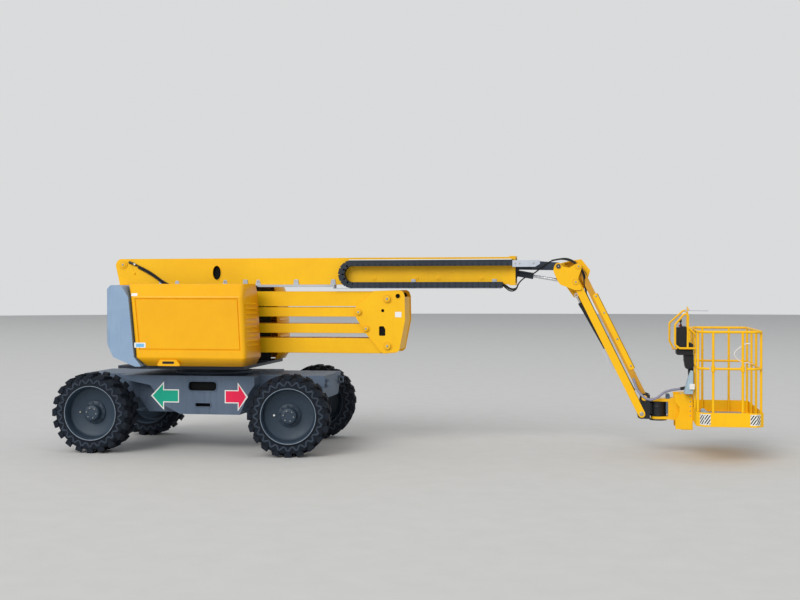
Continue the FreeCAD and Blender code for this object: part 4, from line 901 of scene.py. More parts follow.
def pipe(
    form: Form,
    corners: Sequence[Point],
    radius: float,
    finish: Finish,
    bend: float = 0.0,
    sides: int = 16,
    loop: bool = False,
) -> None:
    """Adds a steel tube with pressed bends to a piece.

    Args:
        form: Where it is gathered.
        corners: Corners of its middle line, in millimetres about the slewing axis.
        radius: Millimetres.
        finish: Finish of the tube.
        bend: Radius of each bend in millimetres.
        sides: Steps round it.
        loop: Whether its end meets its start.
    """
    mesh = bpy.data.meshes.new("pipe")
    joints = [(index, index + 1) for index in range(len(corners) - 1)]
    if loop:
        joints.append((len(corners) - 1, 0))
    mesh.from_pydata([at(*corner) for corner in corners], joints, [])
    holder = shown("pipe", mesh)
    sizes = {"Bend": bend * MM, "Radius": radius * MM, "Sides": sides, "Finish": finish.build()}
    made = worked(holder, pipe_tree(), sizes)
    for face in made.polygons:
        face.use_smooth = True
        face.material_index = form.slot
    before = len(form.mesh.faces)
    form.mesh.from_mesh(made)
    form.mesh.faces.ensure_lookup_table()
    bmesh.ops.recalc_face_normals(form.mesh, faces=form.mesh.faces[before:])
    bpy.data.objects.remove(holder)
    bpy.data.meshes.remove(mesh)
    bpy.data.meshes.remove(made)


# Sub-assemblies


@dataclass
class Wheel:
    """Solid off-road tyre on its dished disc wheel, outer side away from the machine."""

    end: str
    side: Side
    centre: Vector = field(default_factory=Vector)
    axle: Vector = field(default_factory=Vector)
    tyre_radius: float = 525
    base_radius: float = 486
    bead_radius: float = 352
    half_width: float = 192.5
    lugs: int = 20

    def __post_init__(self) -> None:
        """Reads the wheel's place and direction from its joint."""
        joint = next(j for j in frame["joints"] if j["name"] == self.body)
        self.centre = Vector(joint["pos_m"])
        self.axle = Vector(joint["axis"]).normalized() * self.side.value

    @property
    def body(self) -> str:
        """Name of the body that turns."""
        return f"wheel_{self.end}_{self.side.tag}"

    def carcass(self) -> None:
        """Makes the tyre's body with its rounded shoulders and bead."""
        half, base, bead = self.half_width, self.base_radius, self.bead_radius
        quarter = [(half - 14, bead), (half - 5, bead + 5), (half - 2, bead + 14), (half - 6, bead + 22)]
        quarter += [(half - 12, bead + 27), (half - 12, base - 34), (half - 22, base - 12), (half - 44, base)]
        profile = quarter + [(0, base + 4)] + [(-out, radius) for out, radius in reversed(quarter)]
        form = Form()
        form.lathe(self.centre, self.axle, profile, 96, closed=True)
        made = form.piece(f"tyre_carcass_{self.body}", self.body, [RUBBER])
        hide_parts(f"tyre_{self.end}_{self.side.tag}")

    def polar(self, out: float, radius: float, angle: float) -> Vector:
        """Place on the wheel.

        Args:
            out: Millimetres outwards along the axle.
            radius: Millimetres from the axle.
            angle: Degrees round the axle.

        Returns:
            The place in metres.
        """
        across = self.axle.cross(UP).normalized()
        turn = math.radians(angle)
        spoke = across * math.cos(turn) + UP * math.sin(turn)
        return self.centre + self.axle * out * MM + spoke * radius * MM

    def slab(self, form: Form, ends: Sequence[Any], pitch: float, start: float = 0.0) -> None:
        """Adds a six-sided block between two four-cornered faces across the tyre.

        Args:
            form: Where it is gathered.
            ends: The two faces: outward millimetres, and four corners as radius and share of the pitch.
            pitch: Degrees between the copies.
            start: Degrees to the first copy.
        """
        corners = []
        for out, rows in ends:
            corners += [self.polar(out, radius, start + turn * pitch) for radius, turn in rows]
        sides = [(index, (index + 1) % 4, (index + 1) % 4 + 4, index + 4) for index in range(4)]
        form.take(corners, [(0, 1, 2, 3), (7, 6, 5, 4), *sides])

    def lug_ring(self) -> None:
        """Makes one chevron lug with its foot and repeats it round both shoulders."""
        pitch = 360 / self.lugs
        half, top, base = self.half_width, self.tyre_radius, self.base_radius - 6
        # The lug turns at mid-width, so its two legs make a zigzag with their neighbours
        legs = [(half - 2, -0.27, 0.27), (half * 0.52, -0.1, 0.36), (half * 0.08, 0.1, 0.52)]
        for hand, tag in ((1, "outer"), (-1, "inner")):
            form = Form()
            start = 0.0 if hand > 0 else pitch / 2
            for leg in zip(legs, legs[1:]):
                ends = []
                for out, first, last in leg:
                    rows = ((base, first - 0.05), (base, last + 0.05), (top, last), (top, first))
                    ends.append((hand * out, rows))
                self.slab(form, ends, pitch, start)
            # Foot of the lug: it narrows down the shoulder
            rows = ((top - 2, -0.27), (top - 2, 0.27), (458, 0.15), (458, -0.15))
            self.slab(form, [(hand * (half - 28), rows), (hand * (half - 1), rows)], pitch, start)
            lug = form.piece(f"tyre_lugs_{self.body}_{tag}", None, [RUBBER], edge=3.0)
            self.ring_of(lug, RUBBER, self.lugs)

    def ridges(self) -> None:
        """Makes the zigzag of raised ridges on each sidewall."""
        count = 24
        for hand, tag in ((1, "outer"), (-1, "inner")):
            form = Form()
            for foot in (-0.5, 0.5):
                ends = []
                for sunk, width in ((16, 0.17), (1, 0.1)):
                    rows = ((384, foot - width), (384, foot + width), (452, width), (452, -width))
                    ends.append((hand * (self.half_width - sunk), rows))
                self.slab(form, ends, 360 / count)
            ridge = form.piece(f"tyre_ridges_{self.body}_{tag}", None, [DUSTY_RUBBER], edge=2.0)
            self.ring_of(ridge, DUSTY_RUBBER, count)

    def ring_of(self, shape: bpy.types.Object, finish: Finish, count: int) -> None:
        """Repeats a shape round the axle.

        Args:
            shape: The shape in its first place.
            finish: Finish of every copy.
            count: Number of copies.
        """
        repeated(shape, Repeat.RING, self.body, finish, count, 2 * math.pi / count, self.axle, self.centre)

    def disc(self) -> None:
        """Makes the rim, the deep disc and the hub reducer with its cover."""
        half, bead = self.half_width - 12, self.bead_radius
        rim = [(-half, bead), (-half, bead - 8), (-half + 10, bead - 20), (20, bead - 26), (60, bead - 22)]
        rim += [(half - 20, bead - 16), (half - 4, bead - 9), (half + 6, bead - 3), (half + 6, bead + 2)]
        rim += [(half - 2, bead)]
        dish = [(4, 120), (8, 160), (26, 250), (34, 284), (46, 292), (46, 322), (58, 334), (62, 324)]
        dish += [(60, 296), (52, 280), (40, 246), (24, 160), (20, 120)]
        hub = [(-108, 0), (-108, 136), (20, 136), (24, 150), (40, 150), (46, 140), (50, 106), (118, 104)]
        hub += [(134, 96), (140, 84), (143, 52), (138, 48), (138, 0)]
        form = Form()
        form.lathe(self.centre, self.axle, rim, 96, closed=True)
        form.lathe(self.centre, self.axle, dish, 96, closed=True)
        form.lathe(self.centre, self.axle, hub, 72)
        made = form.piece(f"disc_{self.body}", self.body, [WHEEL_PAINT])
        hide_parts(f"rim_{self.end}_{self.side.tag}")
        # The pale ring at the rim's lip: wear on the edge, and a painted edge highlight along it
        form = Form()
        lip = [(half + 5, bead - 4), (half + 9, bead - 2), (half + 10, bead + 3), (half + 5, bead + 6)]
        form.lathe(self.centre, self.axle, lip, 96, closed=True)
        form.piece(f"lip_{self.body}", self.body, [WORN_AND_HIGHLIT_WHEEL])

    def studs(self) -> None:
        """Makes the wheel nuts, the cover's screws and the filler plug."""
        # Columns: name, outward place, radius, across flats, height, count, finish
        rows = (
            ("nuts", 40, 129, 24, 18, 10, WHEEL_PAINT),
            ("cover_screws", 141, 66, 12, 6, 6, BOLT_ZINC),
        )
        for name, out, radius, flats, height, count, finish in rows:
            form = Form()
            form.hex_head(self.polar(out, radius, 10), self.axle, flats, height)
            self.ring_of(form.piece(f"{name}_{self.body}", None, [finish]), finish, count)
        toward_rear = 180.0 if self.axle.cross(UP).x > 0 else 0.0
        form = Form()
        form.lathe(self.polar(30, 195, toward_rear), self.axle, [(0, 14), (14, 14), (19, 10), (19, 0)], 20)
        form.piece(f"plug_{self.body}", self.body, [WHITE_FILM if self.end == "front" else BOLT_ZINC])

    def make(self) -> None:
        """Makes the whole wheel."""
        self.carcass()
        self.lug_ring()
        self.ridges()
        self.disc()
        self.studs()


@dataclass
class HoodPair:
    """Moulded lids over the two sides of the turntable."""

    bottom: float = 1146
    belt_low: float = 1250
    belt_high: float = 1345
    shoulder: float = 2048
    top: float = 2215
    inner: float = 450
    outer: float = 1150
    wall: float = 7
    upright_round: float = 50
    level_round: float = 12

    def cage(self, side: Side) -> bmesh.types.BMesh:
        """Lays out the lid's belts before its edges are rounded.

        Args:
            side: Side of the machine.

        Returns:
            The open shell's outer surface.
        """
        # Columns: height, outer y, rear x, front x
        levels = [
            (self.bottom, self.outer - 78, -576, 742),
            (self.belt_low, self.outer, -682, 800),
            (self.belt_high, self.outer - 7, -691, 797),
            (self.shoulder, self.outer - 3, -756, 762),
            (self.top, self.outer - 140, -845, 731),
        ]
        shell = bmesh.new()
        rings = []
        for z, y, rear, front in levels:
            places = ((rear, self.inner), (rear, y), (front, y), (front, self.inner))
            rings.append([shell.verts.new(at(x, side.value * depth, z)) for x, depth in places])
        for low, high in zip(rings, rings[1:]):
            for first, second in ((0, 1), (1, 2), (2, 3)):
                shell.faces.new([low[first], low[second], high[second], high[first]])
        top = shell.faces.new(rings[-1])
        bmesh.ops.recalc_face_normals(shell, faces=shell.faces)
        if top.normal.z < 0:
            bmesh.ops.reverse_faces(shell, faces=shell.faces)
        return shell

    def round_off(self, shell: bmesh.types.BMesh, edges: Sequence[Any], reach: float, segments: int) -> None:
        """Rounds some edges of the shell.

        Args:
            shell: The shell.
            edges: Its edges that are rounded.
            reach: Millimetres taken off beside each edge.
            segments: Faces across each.
        """
        bmesh.ops.bevel(
            shell,
            geom=edges,
            offset=reach * MM,
            segments=segments,
            profile=0.5,
            affect="EDGES",
            clamp_overlap=True,
        )

    def skin(self, side: Side) -> None:
        """Makes one lid with rounded edges and its sunken line round the side panel.

        Args:
            side: Side of the machine.
        """
        shell = self.cage(side)
        inside = [edge for edge in shell.edges if len(edge.link_faces) == 2]
        uprights = [edge for edge in inside if abs(edge.verts[1].co.z - edge.verts[0].co.z) > 0.05]
        self.round_off(shell, uprights, self.upright_round, 5)
        levels = []
        for edge in shell.edges:
            if len(edge.link_faces) == 2 and edge.calc_face_angle(0.0) > math.radians(18):
                run = (edge.verts[1].co - edge.verts[0].co).normalized()
                if abs(run.z) < 0.2:
                    levels.append(edge)
        self.round_off(shell, levels, self.level_round, 4)
        flanks = [face for face in shell.faces if abs(face.normal.y) > 0.98]
        panel = max(flanks, key=lambda face: face.calc_area())
        # A pressed groove: a flat lip, down, across and up to the raised panel
        for thickness, depth in ((0.012, 0.0), (0.009, -0.014), (0.008, 0.0), (0.010, 0.013)):
            bmesh.ops.inset_region(shell, faces=[panel], thickness=thickness, depth=depth)
        for face in shell.faces:
            face.smooth = True
        bmesh.ops.dissolve_degenerate(shell, edges=shell.edges, dist=0.0002)
        name = f"hood_skin_{side.tag}"
        made = place_mesh(settled(shell, name), name, None, [HOOD_SKIN])
        thick = made.modifiers.new("wall", "SOLIDIFY")
        thick.thickness = self.wall * MM
        thick.offset = -1.0
        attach(made, f"hood_{side.tag}")
        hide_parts(f"hood_{side.tag}")

    def handle(self, side: Side) -> None:
        """Makes the grip pocket in the lower chamfer.

        Args:
            side: Side of the machine.
        """
        form = Form()
        y = side.value * (self.outer - 2)
        outline = rounded([(-400, 1150), (-352, 1232), (-128, 1232), (-62, 1150)], 26)
        form.side_plate(outline, y, side.value * (self.outer - 74))
        form.slot = 1
        slit = rounded([(-318, 1176), (-318, 1212), (-156, 1212), (-156, 1176)], 12)
        form.side_plate(slit, y + side.value * 0.6, y - side.value * 6)
        form.piece(f"hood_grip_{side.tag}", f"hood_{side.tag}", [HOOD_SKIN, HOUSING], edge=3)

    def louvres(self, side: Side) -> None:
        """Makes the stepped air louvres on the lid's front end.

        Args:
            side: Side of the machine.
        """
        form = Form()
        low, face = 1400, 788
        blade = [(face - 8, low), (face + 16, low + 3), (face + 14, low + 10), (face - 8, low + 48)]
        form.side_plate(blade, side.value * 1040, side.value * 575)
        shape = form.piece(f"hood_louvres_{side.tag}", None, [HOOD_SKIN], edge=3)
        repeated(shape, Repeat.ROW, f"hood_{side.tag}", HOOD_SKIN, 10, 0.060, (-0.05, 0, 0.9987))

    def make(self) -> None:
        """Makes both lids."""
        for side in Side:
            self.skin(side)
            self.handle(side)
            self.louvres(side)
        form = Form()
        border = [(-700, 1384), (-700, 1452), (-545, 1452), (-545, 1384)]
        form.side_plate(rounded(border, 12), -1144.2, -1140)
        form.slot = 1
        field_area = [(-676, 1394), (-676, 1438), (-566, 1438), (-566, 1394)]
        form.side_plate(rounded(field_area, 6), -1144.8, -1143)
        form.piece("hood_blank_label", "hood_near", [WHITE_FILM, PALE_FILM])


@dataclass
class Basket:
    """Work basket of bent tubes on its toe-boarded floor."""

    rear: float = 6443
    front: float = 7243
    half_width: float = 900
    floor: float = 475
    top_rail: float = 1615
    mid_rail: float = 1165
    rail_radius: float = 17
    post_radius: float = 16
    corner: float = 90
    inset: float = 25
    gate_posts: tuple[float, float] = (6640, 6990)

    def ring(self, height: float, gate_gap: float) -> list[Point]:
        """Corners of a rail round the basket.

        Args:
            height: Millimetres above the ground.
            gate_gap: How far its ends stay from the gate's posts, or 0 for a closed ring.

        Returns:
            Corners in millimetres, from the gate round to the gate.
        """
        rear, front = self.rear + self.inset, self.front - self.inset
        side = self.half_width - self.inset
        cut = self.corner
        bends = [(front - cut, -side), (front, -side + cut), (front, side - cut), (front - cut, side)]
        bends += [(rear + cut, side), (rear, side - cut), (rear, -side + cut), (rear + cut, -side)]
        if gate_gap > 0:
            ends = (self.gate_posts[1] + gate_gap, self.gate_posts[0] - gate_gap)
            bends = [(ends[0], -side), *bends, (ends[1], -side)]
        return [(x, y, height) for x, y in bends]

    def rails(self) -> None:
        """Makes the rails, posts and the two bent guard loops."""
        form = Form()
        side = self.half_width - self.inset
        rear, front = self.rear + self.inset, self.front - self.inset
        pipe(form, self.ring(self.top_rail, 0), self.rail_radius, ENAMEL, 70, 18, loop=True)
        pipe(form, self.ring(self.mid_rail, 45), self.rail_radius - 2, ENAMEL, 70, 16)
        posts = [(x, sign * side) for sign in (-1, 1) for x in self.gate_posts]
        posts += [(x, y) for x in (rear, front) for y in (-side + 110, -250, 250, side - 110)]
        for x, y in posts:
            pipe(form, [(x, y, self.floor), (x, y, self.top_rail)], self.post_radius, ENAMEL)
            form.lathe(at(x, y, self.floor), UP, [(0, 24), (4, 24), (9, 17), (9, 0)], 20)
        # Columns: y, left edge, height of its two bends, crown, foot height
        loops = ((-330, 6213, 1432, 1686, (6374, 1879), 1388), (60, 6162, 1466, 1698, (6388, 1906), 1362))
        for y, left, low, high, (crown_x, crown_z), foot in loops:
            line = [(rear, y, foot), (left + 55, y, foot), (left, y, low), (left, y, high)]
            line += [(crown_x, y, crown_z), (crown_x + 2, y, crown_z - 90), (crown_x - 4, y, foot)]
            pipe(form, line, self.post_radius - 3, ENAMEL, 38)
            pipe(form, [(crown_x, y, 1665), (rear, y, 1560)], 11, ENAMEL)
        pipe(form, [(6374, -330, 1874), (6388, 60, 1901)], 12, ENAMEL)
        pipe(form, [(6230, -330, 1388), (6200, 60, 1362)], 12, ENAMEL)
        made = form.piece("basket_tube_rails", "basket", [ENAMEL])
        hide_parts("basket_rails")
        form = Form()
        pipe(form, [(6374, -135, 1866), (6640, -135, 1862)], 6, PALE_SHEET, sides=10)
        form.block(at(6352, -150, 1852), at(6384, -120, 1880))
        form.piece("basket_light_bar", "basket", [PALE_SHEET])

    def gate(self) -> None:
        """Makes the sliding entry bar."""
        form = Form()
        side = -self.half_width + self.inset
        height = self.mid_rail
        pipe(form, [(x, side, height) for x in self.gate_posts], 15, ENAMEL)
        collar = [(0, 17), (0, 23), (3, 25), (67, 25), (70, 23), (70, 17)]
        for x in self.gate_posts:
            form.lathe(at(x, side, height - 35), UP, collar, 28, closed=True)
        made = form.piece("gate_bar", "gate", [ENAMEL])
        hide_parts("gate")

    def tray(self) -> None:
        """Dresses the floor: enamelled toe boards and a grip deck of raised beads."""
        soften("basket_floor", "basket", ENAMEL, 4)
        form = Form()
        edge = [(6510, -760), (6590, -836), (7096, -836), (7176, -760)]
        outline = edge + [(x, -y) for x, y in reversed(edge)]
        sheet = Vector((0, 0, 2.5 * MM))
        form.drawn([at(x, y, 478) for x, y in outline], sheet)
        form.piece("deck_sheet", "basket", [ZINC])
        form = Form()
        for turn, shift in ((1, 0), (-1, 20)):
            rib = ((-11, -2), (11, 6), (11, 12), (-11, 4))
            form.drawn([at(6535 + shift + x, -735 + turn * y, 480) for x, y in rib], sheet)
        bead = form.piece("deck_beads", None, [ZINC])
        repeated(bead, Repeat.ROW, None, ZINC, 15, 0.042, (1, 0, 0))
        repeated(bead, Repeat.ROW, "basket", ZINC, 36, 0.0415, (0, 1, 0))

    def hazard_plate(self, name: str, corners: Sequence[Point], outward: Vector, stripes: float) -> None:
        """Makes a striped plate on a toe board.

        Args:
            name: The piece's name.
            corners: Lower start, lower end, upper end and upper start in millimetres.
            outward: Unit vector out of the board.
            stripes: Stripes in the plate's length; they rise towards its end.
        """
        low_a, low_b, high_b, high_a = [at(*corner) for corner in corners]
        form = Form()
        form.drawn([low_a, low_b, high_b, high_a], outward * 0.0012)
        form.slot = 1
        lean = (high_a - low_a).length / (low_b - low_a).length * 0.62
        width = 0.48 / stripes
        share = -lean
        while share < 0.96:
            line = [(share, 0.06), (share + width, 0.06), (share + width + lean, 0.94), (share + lean, 0.94)]
            kept = self.clipped(line, 0.04, 0.96)
            if len(kept) > 2:
                spots = [low_a.lerp(low_b, x).lerp(high_a.lerp(high_b, x), y) for x, y in kept]
                form.drawn([spot + outward * 0.0012 for spot in spots], outward * 0.0006)
            share += 1 / stripes
        form.piece(name, "basket", [WHITE_FILM, BLACK_FILM])

    def clipped(self, outline: Sequence[Place], low: float, high: float) -> list[Place]:
        """Part of an outline between two upright lines.

        Args:
            outline: Corners in order.
            low: The lower line's place.
            high: The higher line's place.

        Returns:
            The corners of what is left.
        """
        result = list(outline)
        for limit, sign in ((low, 1), (high, -1)):
            kept: list[Place] = []
            for index, here in enumerate(result):
                before = result[index - 1]
                inside_here = sign * (here[0] - limit) >= 0
                inside_before = sign * (before[0] - limit) >= 0
                if inside_here != inside_before:
                    share = (limit - before[0]) / (here[0] - before[0])
                    kept.append((limit, before[1] + share * (here[1] - before[1])))
                if inside_here:
                    kept.append(here)
            result = kept
        return result

    def plates(self) -> None:
        """Makes the striped plates round the four corners of the toe boards."""
        low, high = 480, 612
        side, cut = self.half_width, self.corner
        for sign, tag in ((-1, "near"), (1, "far")):
            y = sign * side
            for end, corner_x, way in (("rear", self.rear, 1), ("front", self.front, -1)):
                flat = (corner_x + way * cut, y)
                inner = (corner_x + way * 165, y)
                turned = (corner_x + way * 42, sign * (side - cut + 42))
                slant = Vector((-way, sign, 0)).normalized()
                rows = (
                    ("", flat, inner, Vector((0, sign, 0)), 2.2),
                    ("_corner", turned, flat, slant, 2.0),
                )
                for mark, first, last, outward, stripes in rows:
                    span = [first, last] if way > 0 else [last, first]
                    corners = [(*place, low) for place in span] + [(*place, high) for place in reversed(span)]
                    self.hazard_plate(f"stripes_{end}_{tag}{mark}", corners, outward, stripes)

    def console(self) -> None:
        """Makes the control box with its levers, knobs and stop button."""
        form = Form()
        body = [(6236, 1300), (6442, 1300), (6442, 1440), (6366, 1470), (6360, 1660), (6240, 1640)]
        form.side_plate(rounded(body, 14, 3), -292, 22)
        form.slot = 1
        form.side_plate([(6248, 1643), (6352, 1661), (6351, 1665), (6247, 1647)], -280, 10)
        made = form.piece("console_housing", "basket", [HOUSING, DARK_ENAMEL_AND_SHADE], edge=5, segments=3)
        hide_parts("console")
        levers = Form()
        tilt = Vector((-0.17, 0, 0.985)).normalized()
        stick = [(0, 26), (8, 18), (14, 7), (62, 6), (70, 15), (104, 17), (114, 10), (114, 0)]
        toggle = [(0, 10), (6, 10), (8, 4), (30, 3.5), (36, 6), (40, 0)]
        button = [(0, 16), (10, 16), (11, 22), (26, 22), (30, 16), (30, 0)]
        rows = [(-250, 0, stick), (-180, 0, stick), (-128, 0, toggle), (-92, 0, toggle), (-56, 0, toggle)]
        for y, slot, profile in (*rows, (-12, 1, button)):
            levers.slot = slot
            levers.lathe(at(6300, y, 1652), tilt, profile, 24)
        levers.piece("console_levers", "basket", [HOUSING, RED_CAP])

    def extras(self) -> None:
        """Makes the pedestal, the foot switch with its cover and pedal, the small box and the lanyard."""
        pedestal = [(6352, 1120), (6448, 1130), (6448, 1310), (6330, 1310), (6334, 1220)]
        post = [(6396, 880), (6448, 880), (6448, 1140), (6384, 1140)]
        cover = [(6326, 806), (6438, 806), (6438, 1105), (6408, 1105), (6350, 900)]
        box = [(6392, 868), (6392, 938), (6456, 938), (6456, 868)]
        pedal = [(6520, 481), (6660, 481), (6650, 560), (6560, 640), (6522, 630)]
        # Columns: name, finish, bevel, its faces, plates as outline, corner radius, corner lines and both y
        rows = (
            ("console_pedestal", HOUSING, 5, 2, ((pedestal, 20, 3, -270, -30), (post, 14, 3, -230, -90))),
            ("foot_switch_cover", PALE_COVER, 6, 3, ((cover, 16, 3, -330, -160),)),
            ("socket_box", WHITE_FILM, 3, 2, ((box, 6, 2, -362, -322),)),
            ("foot_pedal", PALE_COVER, 6, 3, ((pedal, 18, 3, -560, -420),)),
        )
        for name, finish, edge, segments, plates in rows:
            form = Form()
            for outline, radius, steps, y_from, y_to in plates:
                form.side_plate(rounded(outline, radius, steps), y_from, y_to)
            form.piece(name, "basket", [finish], edge, segments)
        cable = [(7218, 250, 1420), (7160, 258, 1440), (7060, 262, 1370), (6980, 262, 1290)]
        cable += [(7080, 260, 1180), (7190, 256, 1176), (7216, 250, 1160)]
        form = Form()
        form.tube(route_line(cable), 6, 10)
        form.piece("lanyard_line", "basket", [WHITE_FILM])

    def make(self) -> None:
        """Makes the whole basket."""
        self.rails()
        self.gate()
        self.tray()
        self.plates()
        self.console()
        self.extras()


@dataclass
class EnergyChain:
    """Cable carrier in a loop beside the boom."""

    bend_x: float = 2011
    bend_z: float = 2343
    middle_radius: float = 146.5
    top_end: float = 4141
    bottom_end: float = 3990
    near: float = -290
    far: float = -170
    height: float = 80
    bend_links: int = 6

    @property
    def pitch(self) -> float:
        """Millimetres between links, so that a whole number of them makes the half turn."""
        return math.pi * self.middle_radius / self.bend_links

    def link(self, name: str, x: float, z: float) -> bpy.types.Object:
        """Makes one link.

        Args:
            name: The object's name.
            x: Millimetres to its middle.
            z: Millimetres up to its middle.

        Returns:
            The object, which rides on nothing yet.
        """
        form = Form()
        half = self.height / 2
        reach = self.pitch / 2
        ends = (x - reach, x + reach + 8)
        outline = [(ends[0], z - half), (ends[1], z - half), (ends[1], z + half), (ends[0], z + half)]
        side = rounded(outline, 9, 2)
        for y_from, y_to in ((self.near, self.near + 12), (self.far - 12, self.far)):
            form.side_plate(side, y_from, y_to)
        boss = [(0, 15), (1.6, 14), (1.8, 0)]
        form.lathe(at(x + reach * 0.9, self.near, z), Vector((0, -1, 0)), boss, 16)
        form.slot = 1
        for level in (-1, 1):
            form.block(
                at(x - reach * 0.62, self.near + 2, z + level * half * 0.98),
                at(x + reach * 0.62, self.far - 2, z + level * half * 0.8),
            )
        return form.piece(name, None, [CHAIN_NYLON, CHAIN_NYLON])

    def make(self) -> None:
        """Makes the lower run, the half turn and the upper run, which stretches with the boom."""
        low, high = self.bend_z - self.middle_radius, self.bend_z + self.middle_radius
        pitch = self.pitch
        lower = self.link("chain_links_lower", self.bend_x + pitch / 2, low)
        count = math.ceil((self.bottom_end - self.bend_x) / pitch)
        repeated(lower, Repeat.ROW, "boom", CHAIN_NYLON, count, pitch * MM, (1, 0, 0))
        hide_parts("energy_chain")
        bend = self.link("chain_links_bend", self.bend_x - pitch / 2, low)
        start = -math.pi / 2 / self.bend_links
        middle = at(self.bend_x, 0, self.bend_z)
        turn = Matrix.Translation(middle) @ Matrix.Rotation(-start, 4, "Y") @ Matrix.Translation(-middle)
        bend.data.transform(Matrix.Translation((pitch / 2 * MM, 0, 0)))
        bend.data.transform(turn)
        turns = self.bend_links
        repeated(bend, Repeat.RING, "boom", CHAIN_NYLON, turns, math.pi / turns, (0, 1, 0), middle)
        upper = self.link("chain_links_upper", self.bend_x + pitch / 2, high)
        count = math.ceil((self.top_end - self.bend_x) / pitch)
        repeated(upper, Repeat.ROW, None, CHAIN_NYLON, count, pitch * MM, (1, 0, 0))
        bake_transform(upper)
        edge_z = high + self.height / 2
        self.strip("chain_edge_band", WHITE_FILM, edge_z - 2, edge_z + 8)
        self.strip("chain_cover_band", CHAIN_NYLON, edge_z - 22, edge_z - 2)

    def strip(self, name: str, finish: Finish, low: float, high: float) -> None:
        """Makes a strip along the upper run that stretches with it.

        Args:
            name: The piece's name.
            finish: Its finish.
            low: Millimetres to its lower edge.
            high: Millimetres to its upper edge.
        """
        form = Form()
        form.block(at(self.bend_x - 40, self.near - 3, low), at(self.top_end - 8, self.near + 8, high))
        band = form.piece(name, None, [finish])
        cut = bmesh.new()
        cut.from_mesh(band.data)
        long_edges = [edge for edge in cut.edges if edge.calc_length() > 1]
        bmesh.ops.subdivide_edges(cut, edges=long_edges, cuts=24)
        cut.to_mesh(band.data)
        cut.free()
        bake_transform(band)


@dataclass
class Steelwork:
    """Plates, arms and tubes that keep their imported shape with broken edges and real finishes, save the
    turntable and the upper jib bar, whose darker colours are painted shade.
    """

    # Columns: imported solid, body, finish, broken edge in mm
    rows: tuple[tuple[str, str, Finish, float], ...] = (
        ("tie_down_lugs", "chassis", CHASSIS_PAINT, 2),
        ("axles", "chassis", CHASSIS_PAINT, 4),
        ("tie_rod", "tie_rod", CHASSIS_PAINT, 1),
        ("knuckle_near", "knuckle_near", CHASSIS_PAINT, 3),
        ("knuckle_far", "knuckle_far", CHASSIS_PAINT, 3),
        # The turntable's dark enamel is painted shade: what shows of it lies in the gap between the hoods and
        # the arms
        ("turntable", "turntable", DARK_ENAMEL_AND_SHADE, 3),
        ("power_pack", "turntable", MACHINERY, 8),
        ("lower_arm", "lower_arm", ENAMEL, 5),
        ("lower_link", "lower_link", ENAMEL, 4),
        ("upper_arm", "upper_arm", ENAMEL, 5),
        ("upper_link", "upper_link", ENAMEL, 4),
        ("boom_head", "boom_head", ENAMEL, 3),
        ("riser_barrel", "riser_barrel", BLACK_PAINT, 1),
        ("riser_rod", "riser_rod", CHROME, 1),
        ("boom_barrel", "boom_barrel", BLACK_PAINT, 1),
        ("boom_rod", "boom_rod", CHROME, 1),
        ("boom_inner", "boom_inner", DARK_ENAMEL_AND_SHADE, 4),
        ("level_rod", "level_rod", CHROME, 1),
        ("chain_tray", "boom", ZINC, 1.5),
        ("jib_lower_bar", "jib_lower_bar", ENAMEL, 3),
        # The upper bar is a channel: its darker enamel is painted shade inside it
        ("jib_upper_bar", "jib_upper_bar", PAINTED_SHADE_ENAMEL, 3),
        ("jib_barrel", "jib_barrel", BLACK_PAINT, 1),
        ("jib_rod", "jib_rod", CHROME, 1),
        ("jib_foot", "jib_foot", BLACK_PAINT, 3),
        ("rotary_actuator", "jib_foot", BLACK_PAINT, 3),
        ("basket_bracket", "basket", ENAMEL, 4),
    )

    def make(self) -> None:
        """Dresses every row."""
        for node, body, finish, edge in self.rows:
            soften(node, body, finish, edge)


@dataclass
class Chassis:
    """Plate chassis with its round-ended slots and their welded rims."""

    half_width: float = 750
    rim: float = 9
    # Columns: rear end, front end, middle height and half height of each slot
    slots: tuple[tuple[float, float, float, float], ...] = ((-111, 290, 862, 67), (-15, 206, 615, 30))

    def make(self) -> None:
        """Dresses the plates, frames the slots and puts painted shade behind them."""
        soften("chassis", "chassis", CHASSIS_PAINT, 4)
        for side in Side:
            y = side.value * self.half_width
            form = Form()
            for rear, front, middle, half in self.slots:
                line = rounded(self.slot_outline(rear, front, middle, half), half * 0.98, 8)
                pipe(form, [(x, y, z) for x, z in line], self.rim, CHASSIS_PAINT, sides=10, loop=True)
                for end, way in ((rear, 1), (front, -1)):
                    for level in (-1, 1):
                        self.corner(form, side.value, (end, middle), way, level, half)
            form.piece(f"chassis_slot_rims_{side.tag}", "chassis", [CHASSIS_PAINT])
            # Black plates behind the slots: painted shade, so that they read as openings
            form = Form()
            for rear, front, middle, half in self.slots:
                outline = rounded(self.slot_outline(rear + 4, front - 4, middle, half - 4), half * 0.8)
                form.side_plate(outline, y - side.value * 62, y - side.value * 68)
            form.piece(f"chassis_slot_backs_{side.tag}", "chassis", [PAINTED_SHADE_BLACK])

    def slot_outline(self, rear: float, front: float, middle: float, half: float) -> list[Place]:
        """Square outline of a slot.

        Args:
            rear: Millimetres to its rear end.
            front: Millimetres to its front end.
            middle: Millimetres up to its middle.
            half: Half its height.

        Returns:
            Its corners as (x, z).
        """
        return [(rear, middle - half), (front, middle - half), (front, middle + half), (rear, middle + half)]

    def corner(self, form: Form, sign: int, end: Place, way: int, level: int, half: float) -> None:
        """Fills one square corner of a slot, so that its end is round.

        Args:
            form: Where it is gathered.
            sign: Side of the machine.
            end: The slot's end at half height, as (x, z).
            way: Direction from that end into the slot.
            level: Down or up.
            half: Half the slot's height.
        """
        outline = [(end[0], end[1] + level * half)]
        for step in range(7):
            turn = math.radians(15 * step)
            reach = half * (1 - math.sin(turn))
            outline.append((end[0] + way * reach, end[1] + level * half * math.cos(turn)))
        form.side_plate(outline, sign * (self.half_width - 8), sign * (self.half_width - 1))


